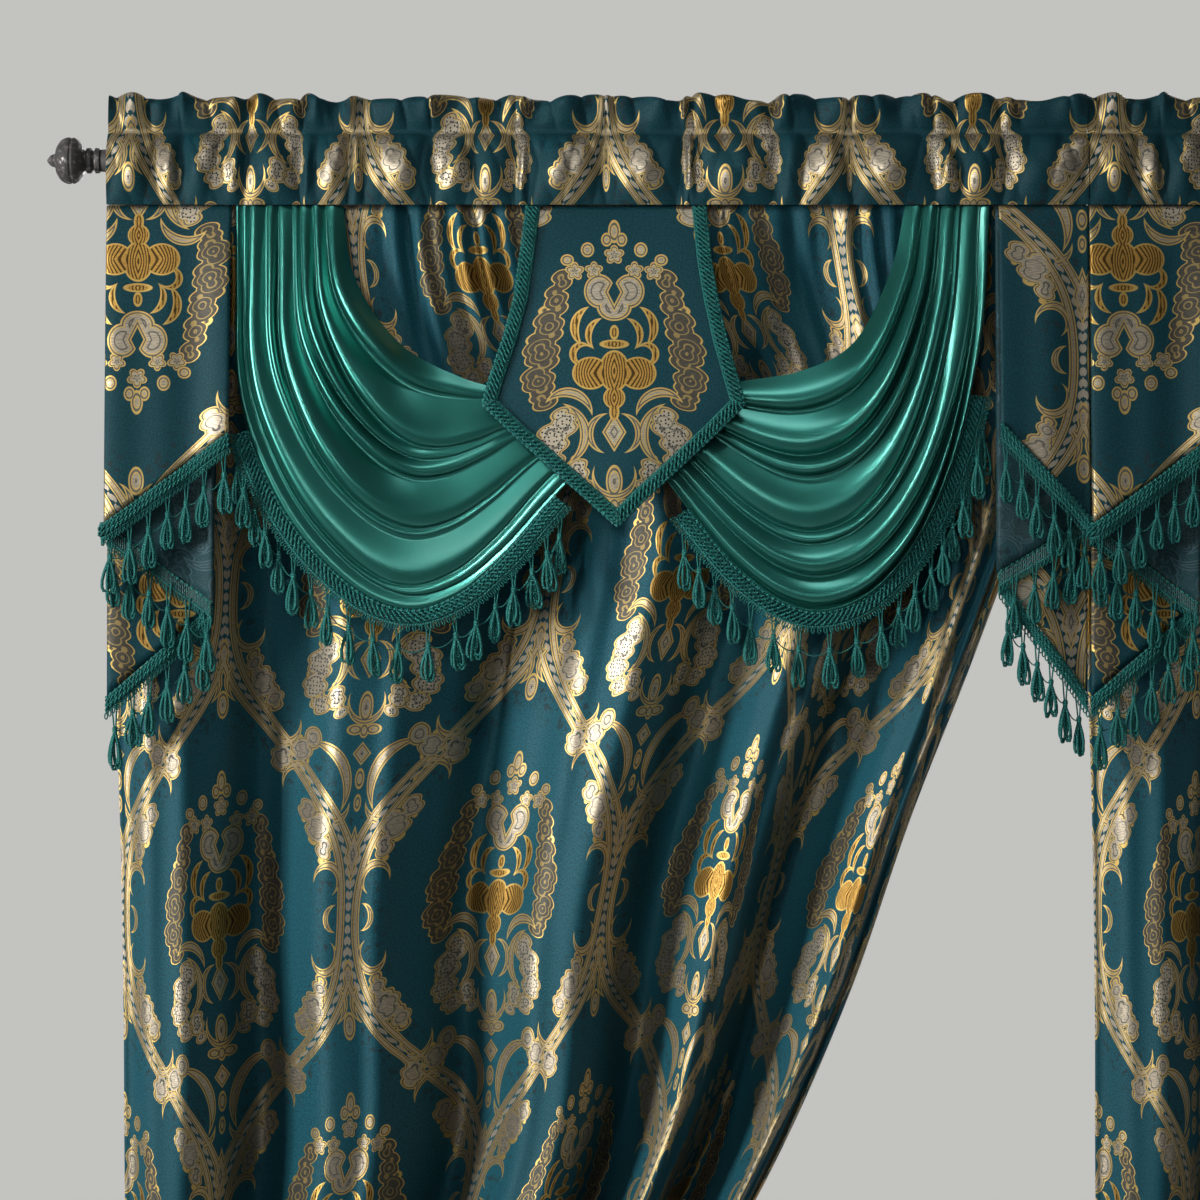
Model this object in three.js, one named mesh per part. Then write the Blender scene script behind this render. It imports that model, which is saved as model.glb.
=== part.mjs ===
// A pair of jacquard curtains with sewn-on swag valances, hanging from one round rod.
// Millimetres. +X runs along the rod, +Y points to the wall and +Z up. The origin is on
// the rod's axis, midway along it, where the two curtains meet.

import * as THREE from "three";

// Rod and finials
const ROD_RADIUS = 11;
const ROD_SIDES = 20;
const ROD_BARE_END = 8; // rod that shows past the cloth, at each end
const FINIAL_GAP = 0.3; // between the rod's end and its finial

// Cloth
const CURTAIN_WIDTH = 924; // hung width of one curtain at its heading
const CURTAIN_GAP = 2; // between the two curtains
const HEADING_TOP = 60; // ruffle's mean top edge over the rod's axis
const STITCH_LINE = 28; // stitching between ruffle and rod pocket
const SEAM = -43; // heading's lower seam, which holds the panel and the valance
const DROP = 2134; // ruffle's top edge to hem
const HEM = HEADING_TOP - DROP;
const JACQUARD = 1.6;
const SATIN = 1.4;
const SEWN_GAP = 0.8; // between pieces that are sewn together
const VALANCE_TOP = SEAM - SEWN_GAP;

// Heading
const GATHER_PUFF = 1.6; // how far the pocket puffs out between two tucks
const RUFFLE_WAVE = 5.5; // how far the ruffle's top edge swings to each side
const RUFFLE_RISE = 3.5; // how much its top edge wavers in height

// Swags
const SWAG_STEPS = 11; // along a swag, from its gathered top to the shield
const SWAG_TOP_DEPTH = -10;
const SWAG_END_DEPTH = -27;
const SWAG_BELLY = 17; // how far its middle stands out
const SWAG_FOLD = 7.5; // how far one fold stands out from its creases

// Shield
const SHIELD_COLUMNS = 6;
const SHIELD_TOP_DEPTH = -10;
const SHIELD_DEPTH = -48;
const SHIELD_BULGE = 5;
const SHIELD_LEAN = 130; // drop over which it comes forward to its full depth
const SHIELD_TIP = { x: 480.5, z: -348 }; // braid's lowest point
const BRAID_WIDTH = 14;
const BRAID_THICKNESS = 2.4;

// Cascades
const CASCADE_TOP_DEPTH = -13; // front layer at the seam
const CASCADE_TOP_STEP = 2.7; // from one layer to the next, at the seam
const CASCADE_HEM_DEPTH = -38; // front layer at its hem
const CASCADE_HEM_STEP = 9.5; // from one layer to the next, at the hem
const CASCADE_ROWS = 4;
const CASCADE_STEPS = 3; // across one layer
const CASCADE_TURN = 2.5; // how far a fold stands past its layers' ends

// Fringe
const TAPE_WIDTH = 16;
const TAPE_THICKNESS = 2.6;
const TASSEL_PITCH = 25;
const TASSEL_ROOT = 4.5; // length of tape that one tassel grows from
const TASSEL_STAGGER = 4.6; // neighbours on a swag hang this far in front or behind
const TASSEL_RINGS = [
  { drop: 17, across: 1.1, deep: 1.0 },
  { drop: 38, across: 5.0, deep: 3.4 },
  { drop: 53, across: 3.0, deep: 2.0 },
];

// Tie-back
const TIE_HEIGHT = 62;
const TIE_THICKNESS = 2.5;
const TIE_CLEARANCE = 5;
const TIE_SIDES = 24;
const TIE_TILT = 14; // how much lower the band sits at the curtain's free side
const WAIST = { z: -1380, half: 48, left: 34, right: 270, middle: 42, depth: 50 };

// Finial profile, from the rod outward
const FINIAL_PROFILE = [
  { along: 0, radius: 11.5 },
  { along: 4, radius: 12 },
  { along: 6, radius: 9 },
  { along: 9, radius: 12 },
  { along: 12, radius: 12 },
  { along: 14, radius: 9.5 },
  { along: 17, radius: 15 },
  { along: 22, radius: 20.5 },
  { along: 29, radius: 22 },
  { along: 36, radius: 19.5 },
  { along: 41, radius: 12.5 },
  { along: 43, radius: 6.5 },
  { along: 46, radius: 5.5 },
  { along: 50, radius: 1.2 },
];
const FINIAL_SIDES = 14;

// Tucks of the gathered heading, from its left edge, and how deep each is
const HEADING_TUCKS = [
  { at: 0, deep: 0.4 },
  { at: 66, deep: 0.7 },
  { at: 128, deep: 0.5 },
  { at: 178, deep: 0.8 },
  { at: 233, deep: 1.0 },
  { at: 316, deep: 0.6 },
  { at: 392, deep: 0.8 },
  { at: 478, deep: 0.7 },
  { at: 549, deep: 1.0 },
  { at: 640, deep: 0.7 },
  { at: 712, deep: 0.8 },
  { at: 786, deep: 0.6 },
  { at: 856, deep: 0.9 },
  { at: 924, deep: 0.4 },
];

// Section of the heading's outside and of its pocket, seen from its left end
const HEADING_OUTSIDE = [
  { y: -15, z: SEAM },
  { y: -18.5, z: -24 },
  { y: -17.5, z: 0 },
  { y: -11.5, z: 17 },
  { y: -3, z: STITCH_LINE },
  { y: -3.6, z: 44 },
  { y: -1.6, z: HEADING_TOP },
  { y: 1.6, z: HEADING_TOP },
  { y: 2.6, z: 44 },
  { y: 3, z: STITCH_LINE },
  { y: 11.5, z: 17 },
  { y: 17.5, z: 0 },
  { y: 13, z: -24 },
  { y: 0.5, z: SEAM },
];
const HEADING_POCKET = [
  { y: -13.3, z: SEAM + 1.6 },
  { y: -16.7, z: -24 },
  { y: -15.7, z: 0 },
  { y: -10.2, z: 15.8 },
  { y: 0, z: 25 },
  { y: 10.2, z: 15.8 },
  { y: 15.7, z: 0 },
  { y: 11.2, z: -24 },
  { y: -0.4, z: SEAM + 1.6 },
];

// Ridges (front 1) and valleys (front -1) of the panel, by share of its hung width
const PANEL_FOLDS = [
  { share: 0, front: 0.1 },
  { share: 0.07, front: 0.85 },
  { share: 0.178, front: -0.85 },
  { share: 0.3, front: 0.75 },
  { share: 0.452, front: -1 },
  { share: 0.6, front: 1 },
  { share: 0.708, front: -1 },
  { share: 0.785, front: 0.8 },
  { share: 0.862, front: -0.95 },
  { share: 0.955, front: 0.8 },
  { share: 1, front: 0.3 },
];
const PANEL_FOLD_STEPS = 3;

// The panel from its seam to its hem: edges, mid-depth of the folds and half their depth.
// bundle 1 rounds the gathered folds off to an oval; rise lifts the free side's hem.
const PANEL_SECTIONS = [
  { z: VALANCE_TOP, left: 0, right: 922, middle: -3, depth: 2, bundle: 0, rise: 0 },
  { z: -120, left: 3, right: 917, middle: 6, depth: 12, bundle: 0, rise: 0 },
  { z: -235, left: 6, right: 898, middle: 14, depth: 21, bundle: 0, rise: 0 },
  { z: -461, left: 10, right: 823, middle: 25, depth: 32, bundle: 0, rise: 0 },
  { z: -620, left: 10, right: 761, middle: 30, depth: 37, bundle: 0, rise: 0 },
  { z: -794, left: 10, right: 700, middle: 33, depth: 41, bundle: 0, rise: 0 },
  { z: -980, left: 11, right: 616, middle: 36, depth: 45, bundle: 0, rise: 0 },
  { z: -1130, left: 14, right: 528, middle: 38, depth: 48, bundle: 0.2, rise: 0 },
  { z: -1270, left: 22, right: 402, middle: 40, depth: 50, bundle: 0.7, rise: 0 },
  { ...WAIST, z: WAIST.z + WAIST.half, bundle: 1, rise: 0 },
  { ...WAIST, z: WAIST.z - WAIST.half, bundle: 1, rise: 0 },
  { z: -1490, left: 28, right: 310, middle: 42, depth: 50, bundle: 0.8, rise: 10 },
  { z: -1740, left: 14, right: 392, middle: 40, depth: 50, bundle: 0.3, rise: 60 },
  { z: HEM, left: 4, right: 462, middle: 38, depth: 50, bundle: 0, rise: 130 },
];

// Edges of the two swags, from the gathered top to the end behind the shield, and the
// creases between their folds, by share of the way from the lower edge to the upper one
const SWAGS = [
  {
    name: "swag_1",
    lower: [
      { x: 121, z: VALANCE_TOP },
      { x: 121, z: -130 },
      { x: 122, z: -203 },
      { x: 132, z: -254 },
      { x: 166, z: -330 },
      { x: 203, z: -378 },
      { x: 250, z: -415 },
      { x: 289, z: -425 },
      { x: 332, z: -410 },
      { x: 372, z: -376 },
      { x: 413, z: -328 },
      { x: 438, z: -301 },
    ],
    upper: [
      { x: 222, z: VALANCE_TOP },
      { x: 234, z: -113 },
      { x: 278, z: -176 },
      { x: 335, z: -207 },
      { x: 366, z: -216 },
    ],
    creases: [0, 0.13, 0.27, 0.4, 0.54, 0.68, 0.83, 1],
    tapeFrom: -256,
    tapeUntil: 0.965,
    outward: -1,
  },
  {
    name: "swag_2",
    lower: [
      { x: 832, z: VALANCE_TOP },
      { x: 826, z: -150 },
      { x: 816, z: -208 },
      { x: 805, z: -255 },
      { x: 788, z: -306 },
      { x: 767, z: -350 },
      { x: 738, z: -391 },
      { x: 706, z: -417 },
      { x: 667, z: -427 },
      { x: 631, z: -416 },
      { x: 591, z: -384 },
      { x: 559, z: -346 },
      { x: 527, z: -304 },
    ],
    upper: [
      { x: 752, z: VALANCE_TOP },
      { x: 738, z: -105 },
      { x: 700, z: -176 },
      { x: 654, z: -200 },
      { x: 597, z: -210 },
      { x: 583, z: -213 },
    ],
    creases: [0, 0.12, 0.25, 0.39, 0.53, 0.66, 0.82, 1],
    tapeFrom: -222,
    tapeUntil: 0.95,
    outward: 1,
  },
];

// Shield's outline, from the seam down to its point
const SHIELD_OUTLINE = [
  { z: VALANCE_TOP, left: 395, right: 564 },
  { z: -95, left: 389, right: 568 },
  { z: -133, left: 384, right: 574 },
  { z: -170, left: 374, right: 582 },
  { z: -205, left: 362, right: 592 },
  { z: -233, left: 354, right: 600 },
  { z: -262, left: 384, right: 571 },
  { z: -292, left: 418, right: 539 },
  { z: -322, left: 452, right: 506 },
  { z: -341, left: 474, right: 487 },
];

// Stepped hem of the two cascades: one row for each end of a layer, front layer first
const CASCADES = [
  {
    name: "cascade_1",
    hem: [
      { from: 117, to: 5, high: -258, low: -342 },
      { from: 5, to: 99, high: -343, low: -416 },
      { from: 98, to: 4, high: -421, low: -506 },
    ],
  },
  {
    name: "cascade_2",
    hem: [
      { from: 840, to: 918, high: -248, low: -336 },
      { from: 918, to: 840, high: -337, low: -386 },
      { from: 840, to: 919, high: -392, low: -504 },
    ],
  },
];

const COLOURS = {
  jacquard: 0x24596a,
  satin: 0x2a9580,
  trim: 0x14645c,
  metal: 0x5a5250,
};

function lerp(a, b, t) {
  return a + (b - a) * t;
}

function smooth(t) {
  return t * t * (3 - 2 * t);
}

// Value of one column of a table, between the rows that hold the key
function lookUp(table, key, column, value) {
  const falling = table[0][key] > table[table.length - 1][key];
  for (let i = 1; i < table.length; i += 1) {
    const before = table[i - 1];
    const after = table[i];
    const reached = falling ? value >= after[key] : value <= after[key];
    if (reached || i === table.length - 1) {
      const t = (value - before[key]) / (after[key] - before[key]);
      return lerp(before[column], after[column], Math.min(1, Math.max(0, t)));
    }
  }
  return table[0][column];
}

function solidFrom(points, triangles) {
  const geometry = new THREE.BufferGeometry();
  const positions = points.flatMap((p) => [p.x, p.y, p.z]);
  geometry.setAttribute("position", new THREE.Float32BufferAttribute(positions, 3));
  geometry.setIndex(triangles.flat());
  geometry.computeVertexNormals();
  return geometry;
}

function quad(a, b, c, d) {
  return [
    [a, b, c],
    [a, c, d],
  ];
}

// A sheet of cloth through a grid of points, as a closed solid of even thickness
function sheetSolid(grid, thickness) {
  const rows = grid.length;
  const columns = grid[0].length;
  const sides = [[], []];
  for (let j = 0; j < rows; j += 1) {
    for (let i = 0; i < columns; i += 1) {
      const across = new THREE.Vector3().subVectors(
        grid[j][Math.min(i + 1, columns - 1)],
        grid[j][Math.max(i - 1, 0)],
      );
      const down = new THREE.Vector3().subVectors(
        grid[Math.min(j + 1, rows - 1)][i],
        grid[Math.max(j - 1, 0)][i],
      );
      const normal = across.cross(down).normalize().multiplyScalar(thickness / 2);
      sides[0].push(new THREE.Vector3().addVectors(grid[j][i], normal));
      sides[1].push(new THREE.Vector3().subVectors(grid[j][i], normal));
    }
  }
  const far = rows * columns;
  const at = (i, j) => j * columns + i;
  const triangles = [];
  for (let j = 0; j < rows - 1; j += 1) {
    for (let i = 0; i < columns - 1; i += 1) {
      const [a, b, c, d] = [at(i, j), at(i + 1, j), at(i + 1, j + 1), at(i, j + 1)];
      triangles.push(...quad(a, b, c, d));
      triangles.push(...quad(far + a, far + d, far + c, far + b));
    }
  }
  const rim = [];
  for (let i = 0; i < columns - 1; i += 1) rim.push(at(i, 0));
  for (let j = 0; j < rows - 1; j += 1) rim.push(at(columns - 1, j));
  for (let i = columns - 1; i > 0; i -= 1) rim.push(at(i, rows - 1));
  for (let j = rows - 1; j > 0; j -= 1) rim.push(at(0, j));
  rim.forEach((p, k) => {
    const q = rim[(k + 1) % rim.length];
    triangles.push(...quad(q, p, far + p, far + q));
  });
  return solidFrom([...sides[0], ...sides[1]], triangles);
}

// A sleeve through rings of points, with a bore through rings of its own
function sleeveSolid(outsideRings, boreRings) {
  const points = [...outsideRings.flat(), ...boreRings.flat()];
  const outside = outsideRings[0].length;
  const bore = boreRings[0].length;
  const boreStart = outsideRings.length * outside;
  const last = outsideRings.length - 1;
  const triangles = [];
  for (let k = 0; k < last; k += 1) {
    for (let i = 0; i < outside; i += 1) {
      const next = (i + 1) % outside;
      const here = k * outside;
      const ahead = here + outside;
      triangles.push(...quad(here + i, ahead + i, ahead + next, here + next));
    }
    for (let i = 0; i < bore; i += 1) {
      const next = (i + 1) % bore;
      const here = boreStart + k * bore;
      const ahead = here + bore;
      triangles.push(...quad(here + next, ahead + next, ahead + i, here + i));
    }
  }
  for (const k of [0, last]) {
    const flat = (p) => new THREE.Vector2(p.y, p.z);
    const contour = outsideRings[k].map(flat);
    const hole = boreRings[k].map(flat);
    const vertices = [...contour, ...hole];
    for (const face of THREE.ShapeUtils.triangulateShape(contour, [hole])) {
      const [a, b, c] = face.map((v) => vertices[v]);
      const turn = (b.x - a.x) * (c.y - a.y) - (b.y - a.y) * (c.x - a.x);
      const facesRight = turn > 0;
      const index = face.map((v) =>
        v < outside ? k * outside + v : boreStart + k * bore + v - outside,
      );
      triangles.push(facesRight === (k === last) ? index : index.reverse());
    }
  }
  return solidFrom(points, triangles);
}

// Heading

function headingStations() {
  const stations = [];
  HEADING_TUCKS.forEach((tuck, i) => {
    stations.push({ x: tuck.at, puff: -tuck.deep });
    const next = HEADING_TUCKS[i + 1];
    if (next) stations.push({ x: (tuck.at + next.at) / 2, puff: 0.8 });
  });
  return stations;
}

function headingRing(section, station, index) {
  const swing = Math.sin(index * 2.4 + 0.7) * RUFFLE_WAVE;
  const lift = Math.sin(index * 1.7 + 1.1) * RUFFLE_RISE;
  return section.map((p) => {
    const ruffle = Math.max(0, (p.z - STITCH_LINE) / (HEADING_TOP - STITCH_LINE));
    const pocket = Math.max(0, 1 - Math.abs(p.z + 8) / (STITCH_LINE + 8));
    const puff = Math.sign(p.y) * station.puff * GATHER_PUFF * pocket;
    return new THREE.Vector3(station.x, p.y + puff + swing * ruffle, p.z + lift * ruffle);
  });
}

function headingSolid() {
  const stations = headingStations();
  return sleeveSolid(
    stations.map((s, i) => headingRing(HEADING_OUTSIDE, s, i)),
    stations.map((s, i) => headingRing(HEADING_POCKET, s, i)),
  );
}

// Panel

function panelShares() {
  const shares = [];
  PANEL_FOLDS.forEach((fold, i) => {
    const next = PANEL_FOLDS[i + 1];
    const steps = next ? PANEL_FOLD_STEPS : 1;
    for (let k = 0; k < steps; k += 1) {
      const t = k / steps;
      shares.push({
        share: next ? lerp(fold.share, next.share, t) : fold.share,
        front: next ? lerp(fold.front, next.front, smooth(t)) : fold.front,
      });
    }
  });
  return shares;
}

function panelPoint({ share, front }, section) {
  const oval = Math.sqrt(Math.max(0, 1 - (2 * share - 1) ** 2));
  const depth = section.depth * lerp(1, oval, section.bundle);
  return new THREE.Vector3(
    lerp(section.left, section.right, share),
    section.middle - front * depth,
    section.z + section.rise * share,
  );
}

function panelSolid() {
  const shares = panelShares();
  const grid = PANEL_SECTIONS.map((section) => shares.map((s) => panelPoint(s, section)));
  return sheetSolid(grid, JACQUARD);
}

// Swags

function edgeCurve(rows) {
  const points = rows.map((row) => new THREE.Vector3(row.x, 0, row.z));
  return new THREE.CatmullRomCurve3(points, false, "centripetal");
}

// How far a swag stands out, without its folds
function swagDepth(along, share) {
  const hang = lerp(SWAG_TOP_DEPTH, SWAG_END_DEPTH, smooth(along));
  const middle = lerp(0.3, 1, Math.sin(Math.PI * share));
  return hang - SWAG_BELLY * Math.sin(Math.PI * along ** 0.8) * middle;
}

function swagShares(creases) {
  const shares = [];
  creases.forEach((crease, i) => {
    shares.push({ share: crease, fold: 0 });
    if (i < creases.length - 1) {
      shares.push({ share: lerp(crease, creases[i + 1], 0.45), fold: 1 });
    }
  });
  return shares;
}

function swagGrid(swag) {
  const lower = edgeCurve(swag.lower);
  const upper = edgeCurve(swag.upper);
  return swagShares(swag.creases).map(({ share, fold }) => {
    const row = [];
    for (let k = 0; k <= SWAG_STEPS; k += 1) {
      const along = k / SWAG_STEPS;
      const point = lower.getPointAt(along).lerp(upper.getPointAt(along), share);
      const height = SWAG_FOLD * fold * lerp(0.35, 1, Math.sin(Math.PI * along ** 0.9));
      point.y = swagDepth(along, share) - height;
      row.push(point);
    }
    return row;
  });
}

// Shield

function shieldDepth(x, z) {
  const left = lookUp(SHIELD_OUTLINE, "z", "left", z);
  const right = lookUp(SHIELD_OUTLINE, "z", "right", z);
  const share = (x - left) / Math.max(1, right - left);
  const fall = Math.min(1, (VALANCE_TOP - z) / SHIELD_LEAN);
  const bulge = SHIELD_BULGE * Math.sin(Math.PI * Math.min(1, Math.max(0, share)));
  return lerp(SHIELD_TOP_DEPTH, SHIELD_DEPTH, Math.sin((Math.PI / 2) * fall)) - bulge * fall;
}

function shieldSolid() {
  const grid = SHIELD_OUTLINE.map((row) => {
    const points = [];
    for (let i = 0; i <= SHIELD_COLUMNS; i += 1) {
      const x = lerp(row.left, row.right, i / SHIELD_COLUMNS);
      points.push(new THREE.Vector3(x, shieldDepth(x, row.z), row.z));
    }
    return points;
  });
  return sheetSolid(grid, JACQUARD);
}

// A strip with four corners at each station, from its first station to its last
function stripSolid(stations, closed) {
  const points = stations.flat();
  const triangles = [];
  const count = stations.length;
  const spans = closed ? count : count - 1;
  for (let k = 0; k < spans; k += 1) {
    const here = k * 4;
    const ahead = ((k + 1) % count) * 4;
    for (let i = 0; i < 4; i += 1) {
      const next = (i + 1) % 4;
      triangles.push(...quad(here + i, ahead + i, ahead + next, here + next));
    }
  }
  if (!closed) {
    const end = (count - 1) * 4;
    triangles.push(...quad(0, 1, 2, 3));
    triangles.push(...quad(end + 3, end + 2, end + 1, end));
  }
  return solidFrom(points, triangles);
}

function braidSolid() {
  const leftSide = SHIELD_OUTLINE.map((row) => ({ x: row.left, z: row.z }));
  const rightSide = SHIELD_OUTLINE.map((row) => ({ x: row.right, z: row.z }));
  const path = [...leftSide, SHIELD_TIP, ...rightSide.reverse()];
  const stations = path.map((p, k) => {
    const before = path[Math.max(k - 1, 0)];
    const after = path[Math.min(k + 1, path.length - 1)];
    const length = Math.hypot(after.x - before.x, after.z - before.z);
    const inward = { x: -(after.z - before.z) / length, z: (after.x - before.x) / length };
    const inner = { x: p.x + inward.x * BRAID_WIDTH, z: p.z + inward.z * BRAID_WIDTH };
    const back = Math.min(shieldDepth(p.x, p.z), shieldDepth(inner.x, inner.z)) - JACQUARD;
    const front = back - BRAID_THICKNESS;
    return [
      new THREE.Vector3(p.x, back, p.z),
      new THREE.Vector3(p.x, front, p.z),
      new THREE.Vector3(inner.x, front, inner.z),
      new THREE.Vector3(inner.x, back, inner.z),
    ];
  });
  return stripSolid(stations, false);
}

// Cascades: one sheet folded to and fro, with a stepped hem

function cascadePath(cascade) {
  const path = [];
  cascade.hem.forEach((layer, i) => {
    for (let k = 0; k <= CASCADE_STEPS; k += 1) {
      const t = k / CASCADE_STEPS;
      path.push({
        x: lerp(layer.from, layer.to, t),
        hem: lerp(layer.high, layer.low, t),
        layer: i,
      });
    }
    const next = cascade.hem[i + 1];
    if (next) {
      const turn = Math.sign(layer.to - layer.from) * CASCADE_TURN;
      path.push({
        x: (layer.to + next.from) / 2 + turn,
        hem: (layer.low + next.high) / 2,
        layer: i + 0.5,
      });
    }
  });
  return path;
}

function cascadeDepth(layer, fall) {
  const top = CASCADE_TOP_DEPTH + CASCADE_TOP_STEP * layer;
  const bottom = CASCADE_HEM_DEPTH + CASCADE_HEM_STEP * layer;
  return lerp(top, bottom, fall ** 0.8);
}

function cascadeSolid(cascade) {
  const path = cascadePath(cascade);
  const grid = [];
  for (let j = 0; j <= CASCADE_ROWS; j += 1) {
    const fall = j / CASCADE_ROWS;
    grid.push(
      path.map(
        (p) => new THREE.Vector3(p.x, cascadeDepth(p.layer, fall), lerp(VALANCE_TOP, p.hem, fall)),
      ),
    );
  }
  return sheetSolid(grid, JACQUARD);
}

// Fringe: a narrow tape whose lower edge grows into tassels

// Places along one run of tape: its ends, and where each tassel's root begins and ends
function tasselMarks(length) {
  const count = Math.round(length / TASSEL_PITCH);
  const first = (length - (count - 1) * TASSEL_PITCH) / 2;
  const marks = [{ at: 0, tassel: 0 }];
  for (let k = 0; k < count; k += 1) {
    const centre = first + k * TASSEL_PITCH;
    marks.push({ at: centre - TASSEL_ROOT / 2, tassel: k + 1 });
    marks.push({ at: centre + TASSEL_ROOT / 2, tassel: 0 });
  }
  marks.push({ at: length, tassel: 0 });
  return marks;
}

// Each station has its upper edge, the way the tape hangs from it, the way it faces and,
// where a tassel's root begins, that tassel's number
function fringeSolid(stations, stagger) {
  const points = [];
  const triangles = [];
  const rings = stations.map(({ edge, hang, face }) => {
    const low = edge.clone().addScaledVector(hang, TAPE_WIDTH);
    const half = TAPE_THICKNESS / 2;
    return [
      points.push(edge.clone().addScaledVector(face, -half)) - 1,
      points.push(edge.clone().addScaledVector(face, half)) - 1,
      points.push(low.clone().addScaledVector(face, half)) - 1,
      points.push(low.clone().addScaledVector(face, -half)) - 1,
    ];
  });
  rings.slice(1).forEach((ahead, k) => {
    const here = rings[k];
    const { tassel, hang } = stations[k];
    for (let i = 0; i < 4; i += 1) {
      if (i === 2 && tassel) continue;
      const next = (i + 1) % 4;
      triangles.push(...quad(here[i], ahead[i], ahead[next], here[next]));
    }
    if (tassel) {
      const root = [here[2], ahead[2], ahead[3], here[3]];
      growTassel(points, triangles, root, hang, tassel % 2 ? stagger : -stagger);
    }
  });
  const end = rings[rings.length - 1];
  triangles.push(...quad(...rings[0]));
  triangles.push(...quad(end[3], end[2], end[1], end[0]));
  return solidFrom(points, triangles);
}

// The root's corners are on the tape's lower edge: two on its face, two on its back
function growTassel(points, triangles, root, hang, offset) {
  const corners = root.map((index) => points[index]);
  const centre = corners.reduce((sum, p) => sum.add(p), new THREE.Vector3()).divideScalar(4);
  const along = new THREE.Vector3().subVectors(corners[1], corners[0]);
  const right = Math.sign(along.z * hang.x - along.x * hang.z);
  const front = Math.sign(corners[0].y - corners[3].y);
  let ring = root;
  for (const { drop, across, deep } of TASSEL_RINGS) {
    const y = centre.y + offset * Math.min(1, drop / TASSEL_RINGS[1].drop);
    const z = centre.z - drop;
    const next = [
      new THREE.Vector3(centre.x - across * right, y + deep * front, z),
      new THREE.Vector3(centre.x + across * right, y + deep * front, z),
      new THREE.Vector3(centre.x + across * right, y - deep * front, z),
      new THREE.Vector3(centre.x - across * right, y - deep * front, z),
    ].map((p) => points.push(p) - 1);
    for (let i = 0; i < 4; i += 1) {
      const j = (i + 1) % 4;
      triangles.push(...quad(ring[i], ring[j], next[j], next[i]));
    }
    ring = next;
  }
  triangles.push(...quad(...ring));
}

function swagFringe(swag) {
  const lower = edgeCurve(swag.lower);
  let start = 0;
  while (lower.getPointAt(start).z > swag.tapeFrom) start += 0.005;
  const length = lower.getLength() * (swag.tapeUntil - start);
  const face = new THREE.Vector3(0, -1, 0);
  const stations = tasselMarks(length).map(({ at, tassel }) => {
    const along = lerp(start, swag.tapeUntil, at / length);
    const tangent = lower.getTangentAt(along);
    const hang = new THREE.Vector3(tangent.z, 0, -tangent.x).multiplyScalar(-swag.outward);
    const edge = lower.getPointAt(along).addScaledVector(hang, SATIN / 2 + SEWN_GAP);
    edge.y = swagDepth(along, 0);
    return { edge, hang, face, tassel };
  });
  return fringeSolid(stations, TASSEL_STAGGER);
}

// The tape turns with the cloth at the end of each layer
function cascadeFringe(cascade) {
  const hang = new THREE.Vector3(0, 0, -1);
  const firstWay = Math.sign(cascade.hem[0].to - cascade.hem[0].from);
  const stations = [];
  cascade.hem.forEach((layer, index) => {
    const way = Math.sign(layer.to - layer.from);
    const width = Math.abs(layer.to - layer.from) - 2 * CASCADE_TURN;
    const slope = (layer.low - layer.high) / Math.abs(layer.to - layer.from);
    const length = width * Math.hypot(1, slope);
    const face = new THREE.Vector3(0, index % 2 ? 1 : -1, 0);
    const place = (x, z, layerIndex) =>
      new THREE.Vector3(x, cascadeDepth(layerIndex, 1), z - CASCADE_TURN - SEWN_GAP);
    for (const { at, tassel } of tasselMarks(length)) {
      const run = CASCADE_TURN + (width * at) / length;
      const edge = place(layer.from + way * run, layer.high + slope * run, index);
      stations.push({ edge, hang, face, tassel });
    }
    const next = cascade.hem[index + 1];
    if (next) {
      const x = (layer.to + next.from) / 2 + way * CASCADE_TURN;
      const edge = place(x, (layer.low + next.high) / 2, index + 0.5);
      stations.push({ edge, hang, face: new THREE.Vector3(firstWay, 0, 0), tassel: 0 });
    }
  });
  return fringeSolid(stations, 0);
}

// Tie-back

function tieSolid() {
  const centre = (WAIST.left + WAIST.right) / 2;
  const reach = (WAIST.right - WAIST.left) / 2 + TIE_CLEARANCE;
  const depth = WAIST.depth + TIE_CLEARANCE;
  const stations = [];
  for (let k = 0; k < TIE_SIDES; k += 1) {
    const angle = (2 * Math.PI * k) / TIE_SIDES;
    const spot = (out, z) =>
      new THREE.Vector3(
        centre + (reach + out) * Math.cos(angle),
        WAIST.middle + (depth + out) * Math.sin(angle),
        z - TIE_TILT * Math.cos(angle),
      );
    stations.push([
      spot(0, WAIST.z + TIE_HEIGHT / 2),
      spot(TIE_THICKNESS, WAIST.z + TIE_HEIGHT / 2),
      spot(TIE_THICKNESS, WAIST.z - TIE_HEIGHT / 2),
      spot(0, WAIST.z - TIE_HEIGHT / 2),
    ]);
  }
  return stripSolid(stations, true);
}

// Assembly

const group = new THREE.Group();
group.name = "curtain_pair";

function add(name, geometry, colour, offset) {
  const position = geometry.getAttribute("position");
  const index = geometry.getIndex();
  let volume = 0;
  const [a, b, c] = [new THREE.Vector3(), new THREE.Vector3(), new THREE.Vector3()];
  for (let i = 0; i < index.count; i += 3) {
    a.fromBufferAttribute(position, index.getX(i));
    b.fromBufferAttribute(position, index.getX(i + 1));
    c.fromBufferAttribute(position, index.getX(i + 2));
    volume += a.dot(b.cross(c));
  }
  if (volume < 0) geometry.setIndex([...index.array].reverse());
  geometry.translate(offset, 0, 0);
  geometry.computeVertexNormals();
  const material = new THREE.MeshStandardMaterial({ color: colour, roughness: 0.6 });
  material.name = `${name}_material`;
  const mesh = new THREE.Mesh(geometry, material);
  mesh.name = name;
  group.add(mesh);
}

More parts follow.
